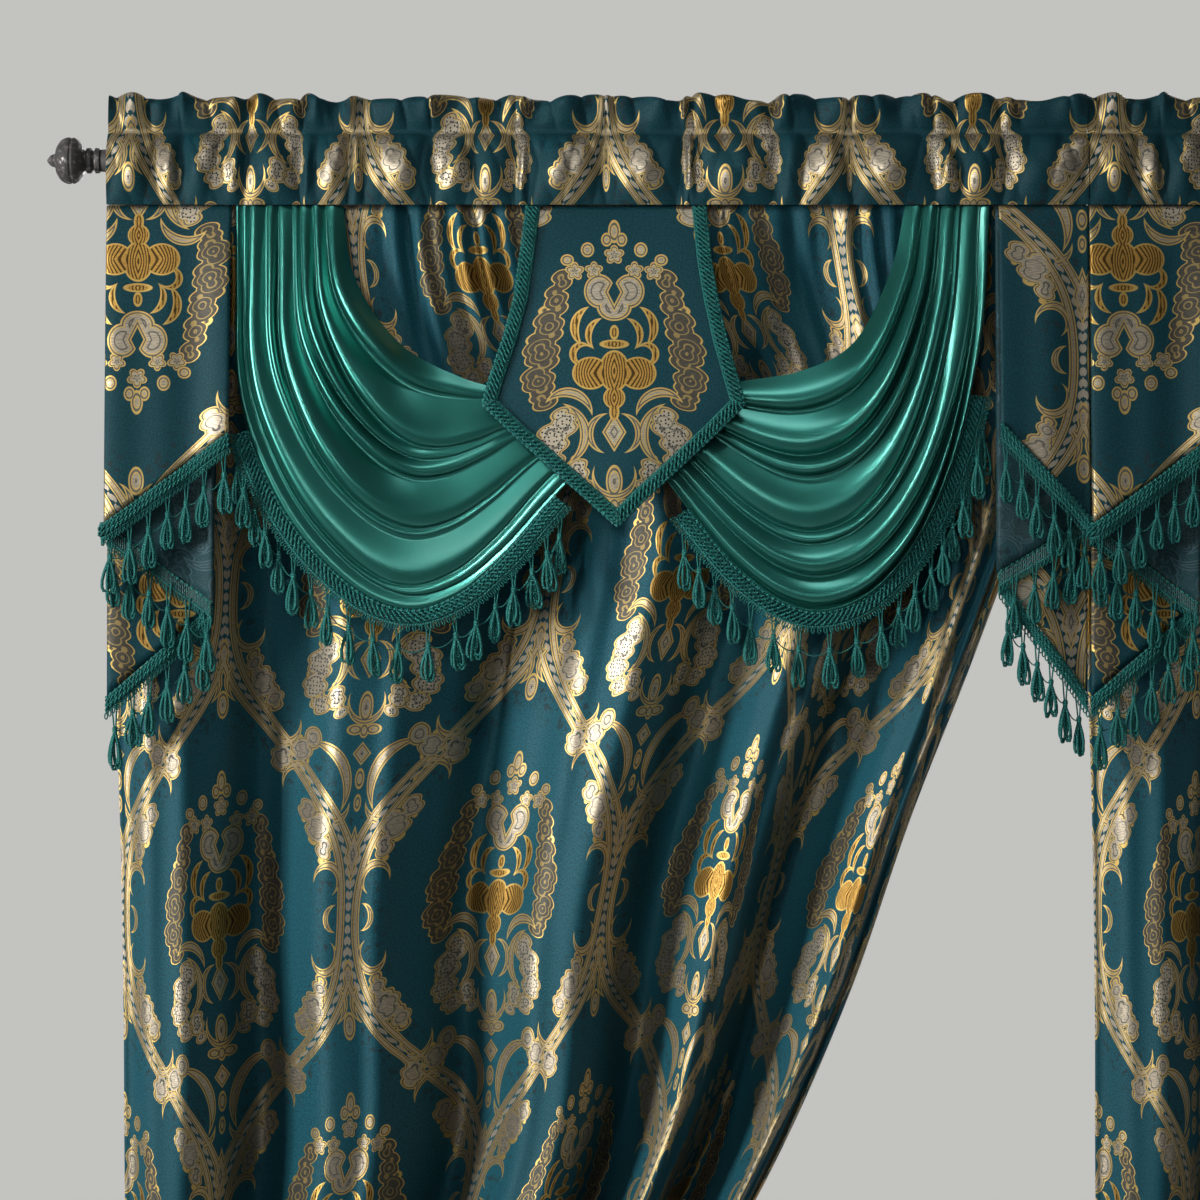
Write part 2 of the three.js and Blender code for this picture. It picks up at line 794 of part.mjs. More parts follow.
function addCurtain(side, offset) {
  add(`${side}_heading`, headingSolid(), COLOURS.jacquard, offset);
  add(`${side}_panel`, panelSolid(), COLOURS.jacquard, offset);
  for (const swag of SWAGS) {
    add(`${side}_${swag.name}`, sheetSolid(swagGrid(swag), SATIN), COLOURS.satin, offset);
    add(`${side}_${swag.name}_fringe`, swagFringe(swag), COLOURS.trim, offset);
  }
  add(`${side}_shield`, shieldSolid(), COLOURS.jacquard, offset);
  add(`${side}_shield_braid`, braidSolid(), COLOURS.trim, offset);
  for (const cascade of CASCADES) {
    add(`${side}_${cascade.name}`, cascadeSolid(cascade), COLOURS.jacquard, offset);
    add(`${side}_${cascade.name}_fringe`, cascadeFringe(cascade), COLOURS.trim, offset);
  }
  add(`${side}_tie`, tieSolid(), COLOURS.jacquard, offset);
}

function finialSolid(side) {
  const profile = FINIAL_PROFILE.map((p) => new THREE.Vector2(p.radius, p.along));
  const last = FINIAL_PROFILE[FINIAL_PROFILE.length - 1];
  const closed = [new THREE.Vector2(0, 0), ...profile, new THREE.Vector2(0, last.along)];
  const turned = new THREE.LatheGeometry(closed, FINIAL_SIDES);
  turned.rotateZ((-side * Math.PI) / 2);
  return turned;
}

const rodHalf = CURTAIN_WIDTH + CURTAIN_GAP / 2 + ROD_BARE_END;
const rod = new THREE.CylinderGeometry(ROD_RADIUS, ROD_RADIUS, 2 * rodHalf, ROD_SIDES);
rod.rotateZ(Math.PI / 2);
add("rod", rod, COLOURS.metal, 0);
add("finial_left", finialSolid(-1), COLOURS.metal, -rodHalf - FINIAL_GAP);
add("finial_right", finialSolid(1), COLOURS.metal, rodHalf + FINIAL_GAP);
addCurtain("left", -CURTAIN_WIDTH - CURTAIN_GAP / 2);
addCurtain("right", CURTAIN_GAP / 2);

export default group;
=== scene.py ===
"""A pair of jacquard curtains with sewn-on swag valances, hanging from one round rod."""

import math

import bpy
import numpy as np
from bpy.props import FloatProperty, FloatVectorProperty, PointerProperty
from bpy.types import Operator, Panel, PropertyGroup
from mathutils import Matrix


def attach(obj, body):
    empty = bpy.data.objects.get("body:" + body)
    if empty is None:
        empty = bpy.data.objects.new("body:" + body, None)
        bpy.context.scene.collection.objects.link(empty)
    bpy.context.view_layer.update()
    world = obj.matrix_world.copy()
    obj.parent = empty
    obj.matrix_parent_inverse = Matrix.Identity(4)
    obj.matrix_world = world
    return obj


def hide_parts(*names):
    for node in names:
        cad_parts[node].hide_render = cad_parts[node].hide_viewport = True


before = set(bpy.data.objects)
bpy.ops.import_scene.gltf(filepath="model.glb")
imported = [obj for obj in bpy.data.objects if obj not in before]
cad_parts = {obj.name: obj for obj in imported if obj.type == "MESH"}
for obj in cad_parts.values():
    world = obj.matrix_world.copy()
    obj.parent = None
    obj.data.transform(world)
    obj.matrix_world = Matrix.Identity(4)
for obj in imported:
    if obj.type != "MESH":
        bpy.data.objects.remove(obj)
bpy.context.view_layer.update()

bl_info = {
    "name": "Jacquard Curtains",
    "version": (1, 0, 0),
    "blender": (4, 5, 0),
    "location": "View3D > Sidebar > Curtains",
    "description": "Makes a pair of tied-back jacquard curtains with swag valances on a rod",
    "category": "Add Mesh",
}

MM = 0.001
TURN = 2 * math.pi
ANY_PHASE = 6.28
FRONT, BACK, DOWN = (0.0, -1.0, 0.0), (0.0, 1.0, 0.0), (0.0, 0.0, -1.0)

# Sizes in millimetres, in one curtain's own frame:
# x from its left edge, y to the wall, z from the rod's axis
OFFSETS = {"left": -925.0, "right": 1.0}
CURTAIN_WIDTH = 924.0
FLAT_WIDTH = 1372.0
HEADING_TOP, STITCH_LINE, HEM = 60.0, 28.0, -2074.0
VALANCE_TOP = -43.8
ROD_HALF, FINIAL_GAP = 933.0, 0.3
BAND_THICKNESS = 1.6
FRINGE_TAPE, SHIELD_TAPE = 16.0, 14.0
TASSEL_ROOT = 16.5
TASSEL_SWING = 4.6
FRINGE_SEEDS = {"swag_1": 23, "swag_2": 28, "cascade_1": 40, "cascade_2": 45}
TAPE_GROUND_SHADE_MARK = -9.0  # mark that tells the tape's ground from its cords

# Section of the heading, from its front seam over the ruffle to its back seam: y, z
HEADING_PATH = (
    (-15, -43), (-18.5, -24), (-17.5, 0), (-11.5, 17), (-3, 28), (-3.6, 44), (-1.6, 60),
    (1.6, 60), (2.6, 44), (3, 28), (11.5, 17), (17.5, 0), (13, -24), (0.5, -43),
)
# Tucks of the gathered heading: place, depth
HEADING_TUCKS = (
    (0, 0.3), (40, 0.35), (66, 0.7), (104, 0.3), (128, 0.6), (178, 0.8), (198, 0.4), (233, 1.0),
    (256, 0.5), (316, 0.7), (352, 0.35), (392, 0.9), (412, 0.5), (478, 0.8), (549, 1.0),
    (571, 0.55), (640, 0.8), (668, 0.4), (712, 0.9), (786, 0.7), (812, 0.4), (856, 0.9),
    (924, 0.3),
)

# Ridges (1) and valleys (-1) of the panel, by share of its hung width
PANEL_FOLDS = (
    (0, 0.1), (0.07, 0.85), (0.178, -0.85), (0.3, 0.75), (0.452, -1), (0.6, 1),
    (0.708, -1), (0.785, 0.8), (0.878, -1), (0.962, 0.8), (1, 0.3),
)
# Where the flat cloth's width goes in the folds: share of the flat width, share of the hung width
PANEL_GRAIN = (
    (0, 0), (0.125, 0.128), (0.25, 0.3), (0.375, 0.491), (0.5, 0.637), (0.625, 0.775),
    (0.75, 0.851), (0.875, 0.958), (1, 1),
)
# The panel from seam to hem: z, left, right, middle, depth, bundle, rise
PANEL_SECTIONS = (
    (-43.8, 0, 922, -3, 2, 0, 0), (-120, 0.5, 917, 6, 12, 0, 0), (-235, 1, 898, 14, 21, 0, 0),
    (-461, 2, 823, 25, 32, 0, 0), (-620, 7, 761, 30, 37, 0, 0), (-794, 10, 700, 33, 41, 0, 0),
    (-980, 11, 616, 36, 45, 0, 0), (-1130, 14, 528, 38, 48, 0.2, 0),
    (-1270, 22, 402, 40, 50, 0.7, 0), (-1332, 34, 270, 42, 50, 1, 0),
    (-1428, 34, 270, 42, 50, 1, 0), (-1490, 28, 310, 42, 50, 0.8, 10),
    (-1740, 14, 392, 40, 50, 0.3, 60), (-2074, 4, 462, 38, 50, 0, 130),
)

# Swags: their edges from the gathered top to the end behind the shield (x, z), the creases
# between their rolls, where the rolls calm down (from, to, how much is left), and where the
# tape starts (z) and ends (share of the lower edge)
SWAGS = {
    "swag_1": {
        "lower": (
            (121, -43.8), (121, -130), (122, -203), (132, -254), (166, -330), (203, -378),
            (250, -415), (289, -425), (332, -410), (372, -376), (413, -328), (438, -301),
        ),
        "upper": ((222, -43.8), (234, -113), (278, -176), (335, -207), (366, -216)),
        "creases": (0, 0.055, 0.12, 0.29, 0.35, 0.53, 0.6, 0.68, 0.86, 1),
        "calm": (0.5, 0.8, 0.45),
        "tape": (-256, 0.965),
        "outward": -1,
        "seed": 3,
    },
    "swag_2": {
        "lower": (
            (832, -43.8), (826, -150), (816, -208), (805, -255), (788, -306), (767, -350),
            (738, -391), (706, -417), (667, -427), (631, -416), (591, -384), (559, -346),
            (527, -304),
        ),
        "upper": ((752, -43.8), (738, -105), (700, -176), (654, -200), (597, -210), (583, -213)),
        "creases": (0, 0.06, 0.13, 0.31, 0.37, 0.57, 0.64, 0.82, 1),
        "calm": (0.45, 0.1, 0.6),
        "tape": (-222, 0.95),
        "outward": 1,
        "seed": 8,
    },
}

# Shield's outline, from the seam to its point: z, left, right
SHIELD_OUTLINE = (
    (-43.8, 395, 564), (-95, 389, 568), (-133, 384, 574), (-170, 374, 582), (-205, 362, 592),
    (-233, 354, 600), (-262, 384, 571), (-292, 418, 539), (-322, 452, 506), (-347, 480, 481),
)
SHIELD_POINT = (480.5, -348.0)

# Hem of each cascade, front layer first: from, to, high, low
CASCADES = {
    "cascade_1": ((117, 1.7, -258, -342), (1.7, 99, -343, -416), (98, 0.4, -421, -506)),
    "cascade_2": ((840, 922.2, -248, -336), (922.2, 840, -337, -386), (840, 923.6, -392, -504)),
}

# Loops of one tassel: direction, half width, length, splay
TASSEL_LOOPS = (
    (0.2, 5.4, 31, -0.1), (0.7, 4.8, 34, -0.02), (2.4, 5.2, 29, 0.05), (2.9, 4.6, 33, 0.11),
)
# Bound neck of a tassel: drop, radius
TASSEL_NECK = ((16.5, 0.9), (17.0, 2.1), (18.4, 2.7), (20.6, 2.6), (22.4, 2.2), (23.4, 2.4))

# Profiles of the rod and, from the rod outward, of a finial: along, radius
ROD_PROFILE = (
    (0, 10.4), (1.0, 11.0), (300, 11.0), (933, 11.0), (1566, 11.0), (1865, 11.0), (1866, 10.4),
)
FINIAL_PROFILE = (
    (0, 11.5), (4, 12), (6, 9), (9, 12), (12, 12), (14, 9.5), (17, 15), (22, 20.5),
    (25.2, 21.8), (26.2, 21.2), (27.2, 21.2), (28.2, 22), (31, 21.8), (36, 19.5),
    (41, 12.5), (43, 6.5), (46, 5.5), (50, 1.2),
)

# The tie's band: its middle, half width and half depth round the panel, height and slant
TIE_MIDDLE = (152.0, 42.0, -1380.0)
TIE_REACH, TIE_DEPTH, TIE_HEIGHT, TIE_TILT = 123.5, 55.5, 62.0, 14.0

# Where each piece is cut from the damask: shift across and up
DAMASK_SHIFTS = {
    "heading": (-540.0, -128.0), "panel": (-171.5, 726.0), "shield": (-477.5, 199.0),
    "cascade_1": (-87.0, -100.0), "cascade_2": (93.5, 190.0),
}
# Points of the cloth grids: rows, columns
HEADING_GRID, PANEL_GRID, SHIELD_GRID, TIE_GRID = (52, 620), (152, 250), (76, 48), (13, 121)
SWAG_COLUMNS, ROLL_ROWS, CASCADE_ROWS = 120, 15, 40

# Stage: softboxes as name, place, aim, size, power, spread and colour, in metres and degrees
FLOOR_RADIUS, FLOOR_HEIGHT, FLOOR_SIDES = 6.8, -2.1, 96
SOFTBOXES = (
    ("Key softbox", (-3.2, -1.5, -0.2), (-0.53, 0, -0.75), (0.6, 1.3), 17.2, 66, (1, 0.98, 0.95)),
    ("Front strip", (-0.8, -3.45, 0.1), (-0.45, 0, -0.2), (0.35, 0.9), 0.9, 60, (1, 0.99, 0.97)),
    ("Valance strip", (-1.8, -2.8, 0.95), (-0.43, 0, -0.36), (0.3, 0.5), 0.7, 21, (1, 0.99, 0.97)),
    ("Top strip", (-0.5, -1.5, 1.9), (-0.45, 0, -0.3), (1.6, 0.3), 2.3, 80, (1, 1, 1)),
    ("Back fill", (0.4, 3.6, 0.3), (0, 0, -0.9), (2.5, 2.0), 70, 110, (1, 1, 1)),
    ("Right fill", (3.4, -1.2, -0.6), (0.3, 0, -1.1), (1.2, 1.6), 1.7, 90, (1, 1, 1)),
)
ROOM_FRONT, ROOM_BACK = (0.085, 0.087, 0.089, 1), (0.545, 0.545, 0.525, 1)
CAMERA_PLACE, CAMERA_LENS = (-0.4608, -3.6, -0.4154), 114.2


# Curves and tables

def lerp(a, b, t):
    return a + (b - a) * t


def ease(t):
    t = np.clip(t, 0, 1)
    return t * t * (3 - 2 * t)


def bell(distance, width):
    return np.exp(-((distance / width) ** 2))


def together(*columns):
    """Columns of any fitting shapes as rows of points or marks."""
    return np.stack(np.broadcast_arrays(*columns), axis=-1)


def spline(knots, values, at, level=False):
    """Smooth curve through the values; level keeps it flat at each high and low."""
    knots = np.asarray(knots, float)
    values = np.asarray(values, float)
    steps = np.diff(knots)
    slopes = np.diff(values) / steps
    tangents = np.concatenate([slopes[:1], slopes])
    tangents[1:-1] = slopes[:-1] * steps[1:] + slopes[1:] * steps[:-1]
    tangents[1:-1] /= steps[:-1] + steps[1:]
    if level:
        limit = 3 * np.minimum(abs(slopes[:-1]), abs(slopes[1:]))
        limit[slopes[:-1] * slopes[1:] <= 0] = 0
        tangents[1:-1] = np.clip(tangents[1:-1], -limit, limit)
    at = np.clip(at, knots[0], knots[-1])
    i = np.clip(np.searchsorted(knots, at, side="right") - 1, 0, len(steps) - 1)
    h = steps[i]
    t = (at - knots[i]) / h
    start = (1 + 2 * t) * (1 - t) ** 2 * values[i] + t * (1 - t) ** 2 * h * tangents[i]
    return start + t * t * (3 - 2 * t) * values[i + 1] + t * t * (t - 1) * h * tangents[i + 1]


def splines(knots, rows, at, level=False):
    return np.stack([spline(knots, column, at, level) for column in rows.T], axis=-1)


def read_at(at, run, rows):
    """Points at distances along a run of points."""
    return np.stack([np.interp(at, run, column) for column in rows.T], axis=-1)


def lengths(points):
    """Distance along a row of points, from its first one."""
    steps = np.linalg.norm(np.diff(points, axis=-2), axis=-1)
    return np.concatenate([np.zeros_like(steps[..., :1]), np.cumsum(steps, axis=-1)], axis=-1)


def unit(vectors):
    return vectors / np.maximum(np.linalg.norm(vectors, axis=-1, keepdims=True), 1e-9)


def edge_curve(rows, shares):
    """Points at shares of the length of a smooth curve through rows, and that length."""
    rows = np.asarray(rows, float)
    chords = np.linalg.norm(np.diff(rows, axis=0), axis=1) ** 0.5
    knots = np.concatenate([[0], np.cumsum(chords)])
    path = splines(knots, rows, np.linspace(0, knots[-1], 1500))
    run = lengths(path)
    return read_at(np.asarray(shares) * run[-1], run, path), run[-1]


def ripples(at, seed, shortest, longest, count):
    """Waves of mixed length along a distance, mostly within -1 and 1."""
    rng = np.random.default_rng(seed)
    total = np.zeros_like(at)
    sizes, phases = rng.uniform(shortest, longest, count), rng.uniform(0, ANY_PHASE, count)
    for length, phase in zip(sizes, phases):
        total += np.sin(TURN * at / length + phase)
    return total / math.sqrt(count)


# Mesh building

class Weave:
    """Points, four-cornered faces and cloth marks of one mesh, gathered bit by bit."""

    def __init__(self):
        self.points, self.faces, self.marks = [], [], []
        self.count = 0

    def add(self, points, faces, marks):
        self.points.append(points.reshape(-1, 3))
        self.faces.append(faces.reshape(-1, 4) + self.count)
        self.marks.append(marks.reshape(-1, 4, 2))
        self.count += points.size // 3

    def cloth(self, points, marks, facing=FRONT):
        """A grid of points whose left part faces the given way."""
        rows, columns = points.shape[:2]
        index = np.arange(rows * columns).reshape(rows, columns)
        corners = (index[:-1, :-1], index[1:, :-1], index[1:, 1:], index[:-1, 1:])
        faces = np.stack(corners, axis=-1).reshape(-1, 4)
        flat = points.reshape(-1, 3)
        near = np.stack([c[:, : columns // 4] for c in corners], axis=-1).reshape(-1, 4)
        first = flat[near[:, 0]]
        turned = np.cross(flat[near[:, 1]] - first, flat[near[:, 3]] - first)
        if (turned @ np.asarray(facing, float)).sum() < 0:
            faces = faces[:, ::-1]
        self.add(points, faces, marks.reshape(-1, 2)[faces])

    def cords(self, centres, first, radius, sides):
        """Round cords: centres and first are [cord, station, 3], and first points out of each."""
        centres = np.asarray(centres, float)
        cords, stations = centres.shape[:2]
        along = unit(np.gradient(centres, axis=1))
        first = np.broadcast_to(first, centres.shape)
        first = unit(first - along * (first * along).sum(-1, keepdims=True))
        second = np.cross(along, first)
        angle = (np.arange(sides) * TURN / sides)[:, None]
        ring = first[..., None, :] * np.cos(angle) + second[..., None, :] * np.sin(angle)
        radius = np.broadcast_to(radius, (cords, stations))
        points = centres[..., None, :] + ring * radius[..., None, None]
        index = np.arange(cords * stations * sides).reshape(cords, stations, sides)
        after = np.roll(index, -1, axis=2)
        faces = np.stack([index[:, :-1], after[:, :-1], after[:, 1:], index[:, 1:]], axis=-1)
        run = lengths(centres)
        here, ahead, low = run[:, :-1, None], run[:, 1:, None], np.arange(sides)
        corners = ((here, low), (here, low + 1), (ahead, low + 1), (ahead, low))
        marks = np.stack([together(*corner) for corner in corners], axis=-2)
        self.add(points, faces, marks / np.array([1.0, sides / 10.0]))

    def piece(self, name, node, slot, materials, offset=0.0, thickness=0.0):
        """The finished object, in metres, standing for a node of the model."""
        points = np.concatenate(self.points) + (offset, 0, 0)
        faces = np.concatenate(self.faces)
        mesh = bpy.data.meshes.new(name)
        mesh.from_pydata((points * MM).tolist(), [], faces.tolist())
        marks = mesh.uv_layers.new(name="Cloth")
        marks.data.foreach_set("uv", (np.concatenate(self.marks) * MM).ravel())
        mesh.shade_smooth()
        mesh.update()
        for material in materials:
            mesh.materials.append(material)
        made = bpy.data.objects.new(name, mesh)
        bpy.context.scene.collection.objects.link(made)
        if thickness:
            solid = made.modifiers.new("Cloth thickness", "SOLIDIFY")
            solid.thickness = thickness * MM
            solid.offset = -1
            solid.material_offset = len(materials) - 1
        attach(made, "root")
        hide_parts(node)
        return made


def cloth_area(points):
    """Area of a grid of points, in square metres."""
    across = points[1:, 1:] - points[:-1, :-1]
    down = points[1:, :-1] - points[:-1, 1:]
    return float(np.linalg.norm(np.cross(across, down), axis=-1).sum() / 2 * MM * MM)


# Draped shapes: each gives its points and its marks, the places on the flat damask

def damask_marks(name, across, up):
    shift = DAMASK_SHIFTS[name]
    return together(across + shift[0], up + shift[1])


def heading_cloth():
    """The gathered rod pocket and ruffle, one sheet from its front seam to its back seam."""
    path = np.asarray(HEADING_PATH, float)
    knots = lengths(path)
    rows, columns = HEADING_GRID
    run = np.linspace(0, knots[-1], rows)
    section = splines(knots, path, run)
    tangent = unit(np.gradient(section, axis=0))
    outward = np.stack([-tangent[:, 1], tangent[:, 0]], axis=1)
    flat = np.linspace(0, FLAT_WIDTH, columns)
    even = flat * CURTAIN_WIDTH / FLAT_WIDTH

    tucks, depths = np.asarray(HEADING_TUCKS, float).T
    from_tucks = even[:, None] - tucks[1:-1]
    drawn = bell(from_tucks, 11.0) @ depths[1:-1]
    crease = bell(from_tucks, 8.5) @ depths[1:-1]
    x = np.cumsum(1 - 0.74 * np.minimum(1, drawn))
    x = (x - x[0]) / (x[-1] - x[0]) * (CURTAIN_WIDTH + 1.4) - 0.7
    places = np.concatenate([tucks, (tucks[1:] + tucks[:-1]) / 2])
    order = np.argsort(places)
    places = places[order]
    puffs = np.concatenate([-depths, np.minimum(1.1, np.diff(tucks) / 48.0)])[order]
    puff = spline(places, puffs, even, level=True)
    index = np.arange(len(places))
    swing = spline(places, np.sin(index * 2.4 + 0.7), even) * 6.5
    swing = swing + ripples(flat, 5, 34, 70, 5) * 4.2
    lift = spline(places, np.sin(index * 1.7 + 1.1), even) * 2.6
    lift = lift + ripples(flat, 6, 40, 90, 4) * 1.3
    z = section[:, 1:]

    def pucker(seed, lean):
        """Soft puffs between sharp creases, leaning with height."""
        wave = ripples(flat + z * lean, seed, 46, 104, 5)
        return np.sqrt(abs(wave) + 0.01) * 1.5 - 1.0

    over, under = pucker(5, 0.25), pucker(7, -0.3) * 0.6 + pucker(8, 0.5) * 0.6
    ruffle = np.clip((z - STITCH_LINE) / (HEADING_TOP - STITCH_LINE), 0, 1)
    pocket = np.clip(1 - abs(z + 8) / (STITCH_LINE + 8), 0, 1)
    near_stitch, near_seam = bell(z - 14, 11.0), bell(z + 40, 12.0)
    stitch = bell(z - STITCH_LINE, 2.6)
    front = (section[:, :1] < 0) * 1.0
    out = puff * lerp(2.0, 7.6, front) * pocket**0.8 - crease * (4.4 * pocket + 3.6 * near_stitch)
    gather = under * (3.4 * pocket**0.7 + 3.4 * near_stitch + 1.2 * near_seam) * (ruffle == 0)
    gather = gather + over * 4.4 * ruffle**0.5
    out = out + gather * (1 - stitch) - 4.4 * stitch
    out = np.where(out < 0, -5.4 * np.tanh(-out / 5.4), out)
    points = together(
        x + ripples(flat, 9, 60, 120, 3) * 1.2 * np.sin(np.pi * flat / FLAT_WIDTH),
        section[:, :1] + outward[:, :1] * out + swing * ruffle**1.2,
        z + outward[:, 1:] * out * 0.5 + lift * ruffle,
    )
    return points, damask_marks("heading", flat, run[:, None])


def fold_profile(share):
    """How far the panel's folds stand forward, by share of its hung width."""
    places, fronts = np.asarray(PANEL_FOLDS, float).T
    i = np.clip(np.searchsorted(places, share, side="right") - 1, 0, len(places) - 2)
    t = ease((share - places[i]) / (places[i + 1] - places[i]))
    sharp = lerp(1.8, 0.8, share)
    t = np.where(fronts[i] > fronts[i + 1], t**sharp, 1 - (1 - t) ** sharp)
    front = lerp(fronts[i], fronts[i + 1], t)
    front = front - 0.16 * bell(share - 0.318, 0.014)
    return np.where(front < 0, 1.3 * front, front)


def panel_cloth():
    """The long panel: gathered at its seam, in deep folds, and drawn to a waist by its tie."""
    rows, columns = PANEL_GRID
    flat = np.linspace(0, 1, columns)
    z = np.linspace(VALANCE_TOP + 6.0, HEM, rows)[:, None]
    heights, *table = np.asarray(PANEL_SECTIONS, float).T
    curves = [spline(-heights, values, -z, level=True) for values in table]
    left, right, middle, depth, bundle, rise = curves

    below = np.maximum(0, VALANCE_TOP - z)
    laid, hung = np.asarray(PANEL_GRAIN, float).T
    share = lerp(flat, spline(laid, hung, flat, level=True), ease(below / 350.0))
    oval = np.sqrt(np.clip(1 - (2 * share - 1) ** 2, 0, 1))
    upright = ease((below - 650.0) / 280.0) * ease((1260.0 - below) / 200.0)
    x = lerp(left, right, share + 0.055 * np.sin(np.pi * share) * upright)
    front = fold_profile(share)
    waist = np.where(front < 0, oval / 1.35, oval)
    y = middle - front * depth * lerp(1, waist, bundle)
    across = flat * FLAT_WIDTH
    gathers = ripples(across, 11, 28, 56, 6) * 4.6 * np.exp(-below / 190.0)
    creases = ripples(across, 12, 55, 110, 5) * 4.2 * ease(below / 260.0) * np.exp(-below / 1500.0)
    slack = ripples(across[None] + below * 0.22, 13, 90, 170, 4) * 1.3 * ease(below / 300.0)
    y = y + gathers * ease(below / 25.0 + 0.3) + (creases + slack) * (1 - 0.8 * bundle)
    points = together(x, y, z + rise * share)
    fall = lengths(points.transpose(1, 0, 2)).T
    points[..., 1] -= 0.7 * ease((fall - fall[-1:] + 80) / 3.0)
    return points, damask_marks("panel", across, VALANCE_TOP - fall)


def swag_depth(along, share):
    hang = lerp(-10.0, -27.0, ease(along))
    return hang - 17.0 * np.sin(np.pi * along**0.8) * lerp(0.3, 1.0, np.sin(np.pi * share))


def swag_cloth(swag):
    """One satin swag, in rolls that fan out from its gathered top and close at the shield."""
    along = np.linspace(0, 1, SWAG_COLUMNS)
    lower, length = edge_curve(swag["lower"], along)
    upper, _ = edge_curve(swag["upper"], along)
    rng = np.random.default_rng(swag["seed"])
    creases = np.asarray(swag["creases"], float)
    drift = rng.uniform(-0.06, 0.06, len(creases))
    phase = rng.uniform(0, ANY_PHASE, len(creases))
    drift[[0, -1]] = 0
    lines = creases[:, None] + drift[:, None] * np.sin(4.2 * along + phase[:, None])
    order = 0.03 * np.arange(len(creases))[:, None]
    lines = np.minimum(np.maximum.accumulate(lines - order) + order, 1 - order[::-1])
    lines[-1] = 1
    swell = lerp(0.3, 1.0, np.sin(np.pi * along**0.9) ** 1.15)
    start, end, least = swag["calm"]
    swell = swell * lerp(1.0, least, ease((along - start) / (end - start)))
    t = np.linspace(0, 1, ROLL_ROWS + 1)[:-1, None] ** 1.5
    shares, rolls = [], []
    for line, following in zip(lines[:-1], lines[1:]):
        wide = (following - line) / 0.11
        high = rng.uniform(9.5, 15.0)
        high = high * (1 + 0.35 * np.sin(rng.uniform(3, 6) * along + rng.uniform(0, ANY_PHASE)))
        crest = rng.uniform(0.45, 0.75)
        shares.append(lerp(line, following, t))
        rolls.append(np.sin(np.pi * t**crest) * high * swell * np.minimum(1.5, wide**0.7))
    share = np.concatenate([*shares, lines[-1:]])
    out = np.concatenate([*rolls, np.zeros((1, len(along)))])
    spot = lower * (1 - share[..., None]) + upper * share[..., None]
    points = together(spot[..., 0], swag_depth(along, share) - out, spot[..., 1])
    width = np.linalg.norm(upper - lower, axis=1).mean()
    return points, together(along * length, share * width)


def shield_edges(z):
    heights, left, right = np.asarray(SHIELD_OUTLINE, float)[::-1].T
    return np.interp(z, heights, left), np.interp(z, heights, right)


def shield_depth(x, z):
    left, right = shield_edges(z)
    share = np.clip((x - left) / np.maximum(1, right - left), 0, 1)
    fall = np.clip((VALANCE_TOP - z) / 130.0, 0, 1)
    return lerp(-10.0, -48.0, np.sin(np.pi / 2 * fall)) - 5.0 * np.sin(np.pi * share) * fall


def shield_cloth():
    rows, columns = SHIELD_GRID
    z = np.linspace(VALANCE_TOP, SHIELD_OUTLINE[-1][0], rows)[:, None]
    share = np.linspace(0, 1, columns)
    x = lerp(*shield_edges(z), share)
    ripple = 0.7 * np.sin(x / 23.0 + z / 61.0) + 0.5 * np.sin(x / 37.0 - z / 29.0)
    y = shield_depth(x, z) + ripple * np.sin(np.pi * share)
    return together(x, y, z), damask_marks("shield", x, z)


def cascade_path(hem, per_layer=30, per_turn=9):
    """Columns of a cascade, to and fro: x, hem height and layer, a turn between its layers."""
    path = []
    for i, (start, end, high, low) in enumerate(hem):
        for t in np.linspace(0, 1, per_layer):
            path.append((lerp(start, end, t), lerp(high, low, t), i))
        if i + 1 < len(hem):
            bulge = 2.5 * np.sign(end - start)
            following = hem[i + 1]
            for t in np.linspace(0, 1, per_turn + 2)[1:-1]:
                x = lerp(end, following[0], t) + bulge * math.sin(math.pi * t)
                path.append((x, lerp(low, following[2], t), i + (1 - math.cos(math.pi * t)) / 2))
    return np.asarray(path).T


def cascade_depth(x, layer, fall):
    flat = lerp(-13.0 + 2.7 * layer, -38.0 + 9.5 * layer, fall**0.8)
    return flat - (2.6 * np.sin(x / 15.0) + 1.6 * np.sin(x / 8.3 + 1.0)) * ease(fall * 2.5)


def cascade_cloth(hem, name):
    x, low, layer = cascade_path(hem)
    fall = np.linspace(0, 1, CASCADE_ROWS)[:, None]
    z = lerp(VALANCE_TOP, low, fall)
    points = together(x, cascade_depth(x, layer, fall), z)
    across = np.concatenate([[0], np.cumsum(np.hypot(np.diff(x), np.diff(layer) * 6.0))])
    return points, damask_marks(name, across, -z if name == "cascade_1" else z)


def tie_cloth():
    rows, columns = TIE_GRID
    angle = np.linspace(0, TURN, columns)
    up = np.linspace(1, -1, rows)[:, None]
    bow = 2.0 * (1 - up**2) + 0.8 * np.sin(3 * np.pi * up)
    above = up * TIE_HEIGHT / 2
    x, y, z = TIE_MIDDLE
    points = together(
        x + (TIE_REACH + bow) * np.cos(angle),
        y + (TIE_DEPTH + bow) * np.sin(angle),
        z + above - TIE_TILT * np.cos(angle),
    )
    return points, together(lengths(points[rows // 2]), above)


# Fringe and braid

